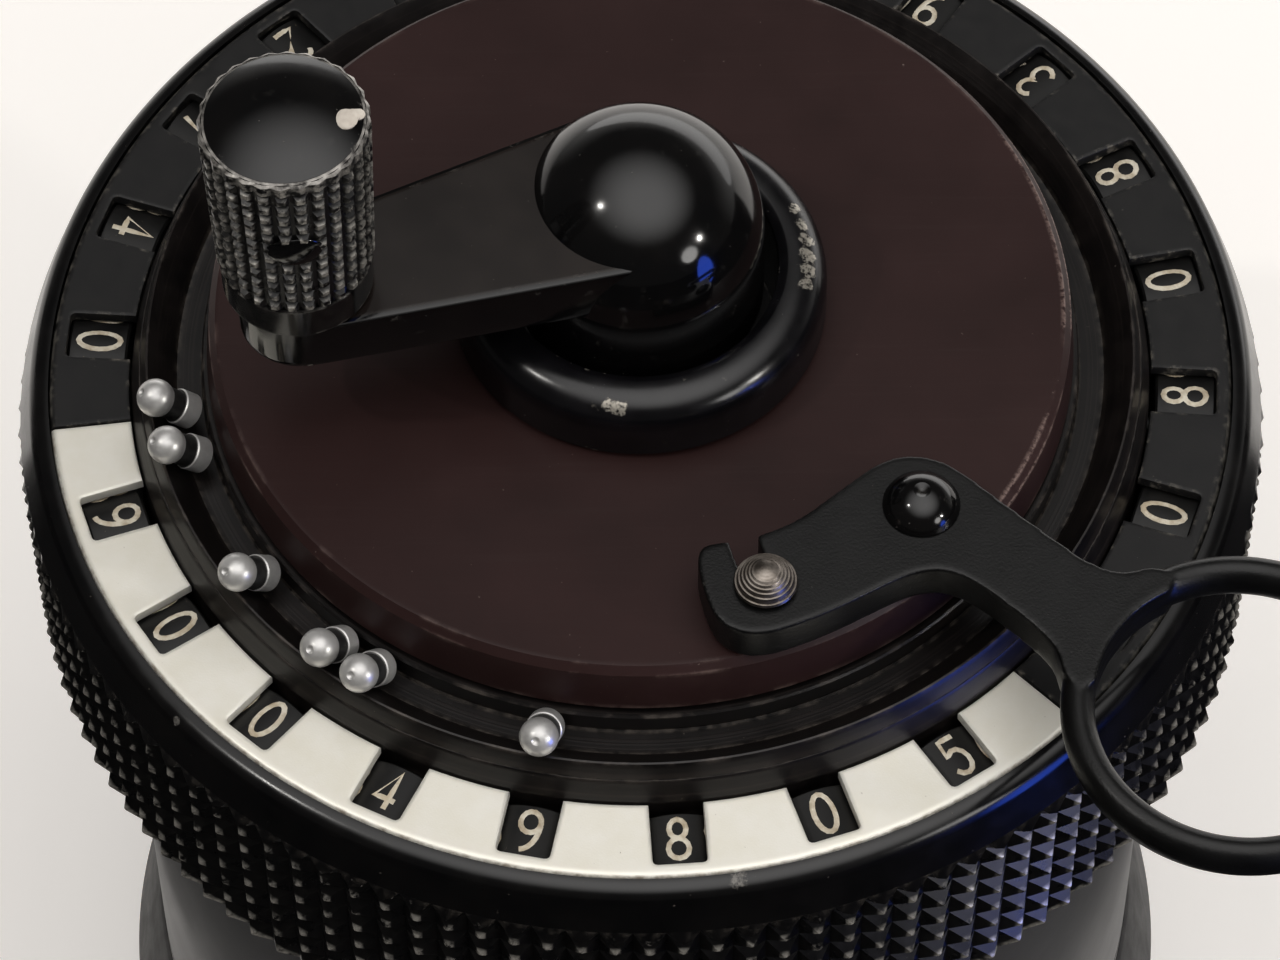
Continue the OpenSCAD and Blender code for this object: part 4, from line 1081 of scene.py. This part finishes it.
plugSize = dict(azimuth=24, level=83.2, wide=1.4, high=1.0, sink=0.16, reach=3.93)
blobSize = dict(azimuth=103, lobes=((2.95, 0.0, 0.62), (3.25, 0.35, 0.4), (3.5, 0.5, 0.36)), flat=0.35,
                rim=3.9, voxel=0.07, calm=6)


def makeKnobMarks():
    middle = standAt(crankSize["angle"], crankSize["length"])
    s = plugSize
    bm = bmesh.new()
    bmesh.ops.create_uvsphere(bm, u_segments=32, v_segments=16, radius=1.0)
    bmesh.ops.scale(bm, vec=(s["wide"], s["sink"], s["high"]), verts=bm.verts)
    for vert in bm.verts:  # wrapped to the knob's round
        bend = vert.co.x / s["reach"]
        reach = s["reach"] - vert.co.y
        vert.co = (reach * math.sin(bend), -reach * math.cos(bend), vert.co.z + s["level"])
    moved(bm, Matrix.Translation(middle.translation) @ Matrix.Rotation(math.radians(s["azimuth"]), 4, 'Z'))
    finishPiece("knobPlug", bm, (blackGloss,), "crank_grip", None, 60)
    s = blobSize
    bm = bmesh.new()
    for reach, shift, radius in s["lobes"]:
        made = bmesh.ops.create_icosphere(bm, subdivisions=3, radius=radius)["verts"]
        bmesh.ops.scale(bm, vec=(1, 1, s["flat"]), verts=made)
        drop = knobSize["dome"] * (reach / s["rim"]) ** 2
        bmesh.ops.translate(bm, vec=(shift, -reach, knobSize["rimTop"] + knobSize["dome"] - drop),
                            verts=made)
    moved(bm, Matrix.Translation(middle.translation) @ Matrix.Rotation(math.radians(s["azimuth"]), 4, 'Z'))
    bm = melted(bm, s["voxel"], s["calm"])
    finishPiece("knobPaintSpot", bm, (paintWhite,), "crank_grip", None, 60)


makeKnobMarks()
print("crank and knob made")


# Sleeve with the round collar under the hub
sleeveSize = dict(low=42.2, radius=4.5, shoulder=52.1, neck=8.2, collarLow=65.6, collar=9.5, top=69.3,
                  round=1.7, bore=2.55, well=7.0, wellFloor=63.1, edge=0.15,
                  lip=((0.55, 0), (0.45, -0.02), (0.05, -0.28), (0, -0.4)))


def makeSleeve():
    s = sleeveSize
    bm = bmesh.new()
    lathe(bm, [(s["bore"], s["low"]), (s["radius"], s["low"]), (s["radius"], s["shoulder"]),
               (s["neck"], s["shoulder"]), (s["neck"], s["collarLow"]),
               (s["collar"] - s["edge"], s["collarLow"]), (s["collar"], s["collarLow"] + s["edge"])]
          + arcLine((s["collar"] - s["round"], s["top"] - s["round"]), s["round"], 0, 84, 14)
          + shifted(s["lip"], s["well"], s["top"])
          + [(s["well"], s["wellFloor"]), (s["bore"], s["wellFloor"])], 180, True)
    finishPiece("collarSleeve", bm, (collarGloss,), "carriage_slide", ["carriage_sleeve"],
                26)


makeSleeve()

# Case with its setting slots and windows
caseSize = dict(radius=28.4, inner=26.8, low=9.0, high=44.2, slot=2.4, slotLow=12.3, slotHigh=35.9,
                windowWide=2.6, windowLow=38.7, windowHigh=41.7, reverserAngle=272, reverserLow=29.1,
                reverserHigh=38.9, rows=42, hold=0.4, groove=((0, 0.6), (-0.15, 0.7), (-0.15, 1.0)),
                wallLow=1.1, topEdge=0.3, edge=0.14, sharp=55)
settingAngles = [180 + (i - 5) * windowPitch for i in range(11)]


def slotCutter(bm, angle, wide, low, high, rounded):
    s = caseSize
    half = wide / 2
    if rounded:
        outline = arcLine((0, high - half), half, 0, 180, 12) + arcLine((0, low + half), half, 180, 360, 12)
    else:
        outline = [(half, high), (-half, high), (-half, low), (half, low)]
    part = bmesh.new()
    prism(part, outline, s["inner"] - 1, s["radius"] + 1)
    join(bm, moved(part, standAt(angle) @ lying))


def makeCase():
    s = caseSize
    bm = bmesh.new()
    wallLow, wallHigh = s["low"] + s["wallLow"], s["high"] - s["topEdge"]
    wall = [(s["radius"], wallLow + (wallHigh - wallLow) * i / s["rows"]) for i in range(s["rows"] + 1)]
    lathe(bm, [(s["inner"], s["low"]), (s["radius"], s["low"])]
          + shifted(s["groove"], s["radius"], s["low"]) + wall
          + [(s["radius"] - s["topEdge"], s["high"]), (s["inner"], s["high"])], 240, True, s["hold"])
    cutter = bmesh.new()
    for angle in settingAngles:
        slotCutter(cutter, angle, s["slot"], s["slotLow"], s["slotHigh"], True)
        slotCutter(cutter, angle, s["windowWide"], s["windowLow"], s["windowHigh"], False)
    slotCutter(cutter, s["reverserAngle"], s["slot"], s["reverserLow"], s["reverserHigh"], True)
    bm = rounded(carve(bm, cutter), s["edge"], 2, s["sharp"])
    finishPiece("caseShell", bm, (caseGrey,), "case", ["body_shell"], 28)


makeCase()

scaleSize = dict(first=34.0, travel=19.8, gap=1.75, long=1.5, short=0.9, high=0.24, deep=0.12, proud=0.03)


def makeSettingScales():  # ten fine marks beside each slot
    s = scaleSize
    bm = bmesh.new()
    for angle in settingAngles:
        for step in range(10):
            wide = s["long"] if step % 5 == 0 else s["short"]
            made = bmesh.ops.create_cube(bm, size=1.0)["verts"]
            bmesh.ops.scale(bm, vec=(wide, s["deep"], s["high"]), verts=made)
            lift = caseSize["radius"] + s["proud"] - s["deep"] / 2
            shift = math.degrees((s["gap"] + wide / 2) / caseSize["radius"])
            pose = standAt(angle + shift, lift, s["first"] - s["travel"] * step / 9)
            bmesh.ops.transform(bm, matrix=pose, verts=made)
    finishPiece("settingScales", bm, (digitWhite,), "case", None)


makeSettingScales()

# Foot with its flare, cup and screw pockets
footSize = dict(radius=30.4, edge=1.4, top=9.0, case=28.4, spigotOuter=26.8, spigotTop=11.0,
                spigotInner=24.8, floor=2.4, bearing=6.0, bearingTop=11.0, bore=2.55, boreLow=1.2,
                pillar=21.0, screw=1.9, shank=0.9, pillarAngles=(-84, -28, 28, 84),
                sole=((-0.35, 0), (-0.1, 0.1), (0, 0.35)), ease=0.2, round=0.08,
                flare=((0.62, 6.6), (0.22, 8.2), (0.02, 8.8)), lip=0.15)


def makeFoot():
    s = footSize
    bm = bmesh.new()
    lathe(bm, [(0, 0)] + shifted(s["sole"], s["radius"], 0)
          + [(s["radius"], s["edge"] - s["ease"]), (s["radius"] - s["round"], s["edge"] + s["ease"])]
          + shifted(s["flare"], s["case"], 0)
          + [(s["case"] - s["lip"], s["top"]), (s["spigotOuter"], s["top"]),
             (s["spigotOuter"], s["spigotTop"]), (s["spigotInner"], s["spigotTop"]),
             (s["spigotInner"], s["floor"]), (s["bearing"], s["floor"]), (s["bearing"], s["bearingTop"]),
             (s["bore"], s["bearingTop"]), (s["bore"], s["boreLow"]), (0, s["boreLow"])], 240)
    cutter = bmesh.new()
    for angle in s["pillarAngles"]:
        part = bmesh.new()
        lathe(part, [(0, -1), (s["screw"], -1), (s["screw"], s["floor"] / 2), (s["shank"], s["floor"] / 2),
                     (s["shank"], s["floor"] + 1), (0, s["floor"] + 1)], 32)
        moved(part, standAt(angle, s["pillar"]))
        tidy(part)
        join(cutter, part)
    finishPiece("foot", carve(bm, cutter), (blackMatte,), "case", ["base_cap"], 30)


makeFoot()
print("case and foot made")


# Setting knobs and the reversing lever: hollowed thumb grip, stem through the slot, shoe inside
gripSize = dict(seat=28.7, collar=29.5, tip=31.78, wide=4.2, high=5.4, tipHigh=1.9, stem=2.0, stemHigh=3.0,
                shoeOuter=26.4, shoeInner=24.9, shoeWide=4.6, shoeHigh=4.0, edge=0.22, overlap=0.4,
                level=34.0)
reverserSize = dict(level=37.0, high=4.0)


def gripBlock(bm, near, far, wide, high, level):
    made = bmesh.ops.create_cube(bm, size=1.0)["verts"]
    bmesh.ops.scale(bm, vec=(wide, far - near, high), verts=made)
    bmesh.ops.translate(bm, vec=(0, -(near + far) / 2, level), verts=made)


def makeGrip(name, angle, level, high, finish, body, node):
    s = gripSize
    bm = bmesh.new()
    half, tip = high / 2, s["tipHigh"] / 2 * high / s["high"]
    slope = [(s["tip"] + (s["collar"] - s["tip"]) * math.sin(math.radians(a)),
              tip + (half - tip) * (1 - math.cos(math.radians(a)))) for a in range(0, 91, 15)]
    outline = ([(s["seat"], -half), (s["collar"], -half)] + [(x, -y) for x, y in reversed(slope[:-1])]
               + slope + [(s["seat"], half)])
    prism(bm, outline, -s["wide"] / 2, s["wide"] / 2)
    tidy(bm)
    soften(bm, [e for e in bm.edges if e.calc_face_angle(0.0) > 0.9], s["edge"], 3)
    moved(bm, Matrix(((0, 0, 1, 0), (-1, 0, 0, 0), (0, 1, 0, level), (0, 0, 0, 1))))
    stemInner, stemOuter = s["shoeOuter"] - s["overlap"], s["seat"] + s["overlap"]
    gripBlock(bm, stemInner, stemOuter, s["stem"], s["stemHigh"], level)
    gripBlock(bm, s["shoeInner"], s["shoeOuter"], s["shoeWide"], s["shoeHigh"], level)
    finishPiece(name, moved(bm, standAt(angle)), (finish,), body, [node], 30)


for i, angle in enumerate(settingAngles):
    makeGrip(f"settingKnob{i + 1}", angle, gripSize["level"], gripSize["high"], blackGloss,
             f"setting_{i + 1:02d}", f"setting_knob_{i + 1:02d}")
makeGrip("reversingLever", caseSize["reverserAngle"], reverserSize["level"], reverserSize["high"],
         studSteel, "reverser", "reversing_lever")
print("setting knobs made")


# Inside parts keep their solids and get machined metal finishes
insideFinishes = dict(base_screws=innerSteel, mechanism_frame=innerBrass, setting_shafts=innerSteel,
                      transmission_shafts=innerBrass, lift_collar=innerSteel, main_shaft=innerSteel,
                      step_drum=innerBrass)
for nodeName, finish in insideFinishes.items():
    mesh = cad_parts[nodeName].data
    if not mesh.materials:
        mesh.materials.append(finish)
    for i in range(len(mesh.materials)):
        mesh.materials[i] = finish
print("inside parts finished")


# Pale floor with a painted glow: it glows by emission, brighter behind the machine and darker towards the
# camera
floorSetup = dict(size=3.0, pale=(243, 240, 236), paler=(248, 245, 241), rough=0.7, cloud=9,
                  glow=(255, 250, 246), span=(-0.15, 0.2), strength=(0.1, 0.5))


def makeFloor():
    s = floorSetup
    bm = bmesh.new()
    bmesh.ops.create_grid(bm, x_segments=1, y_segments=1, size=s["size"])
    floor = looseObject("floor", bm)
    finish = bpy.data.materials.new("floorPale")
    finish.use_nodes = True
    tree = finish.node_tree
    shader = tree.nodes["Principled BSDF"]
    coords = tree.nodes.new("ShaderNodeTexCoord").outputs["Object"]
    cloud = grainOf(tree, coords, s["cloud"])
    colour = blendColour(tree, cloud, shade(*s["pale"]), shade(*s["paler"]))
    feed(tree, shader.inputs["Base Color"], colour)
    shader.inputs["Roughness"].default_value = s["rough"]
    # painted light: the floor glows by emission, strongest at the back and weak at the front, on top of the
    # lamps' light
    shader.inputs["Emission Color"].default_value = shade(*s["glow"])
    along = tree.nodes.new("ShaderNodeSeparateXYZ")
    tree.links.new(mapped(tree, coords, (1, 1, 1), cameraSetup["azimuth"]), along.inputs[0])
    glow = remap(tree, along.outputs["Y"], *s["span"], *s["strength"])
    tree.links.new(glow, shader.inputs["Emission Strength"])
    floor.data.materials.append(finish)


makeFloor()
makeCard()
print("scene done")
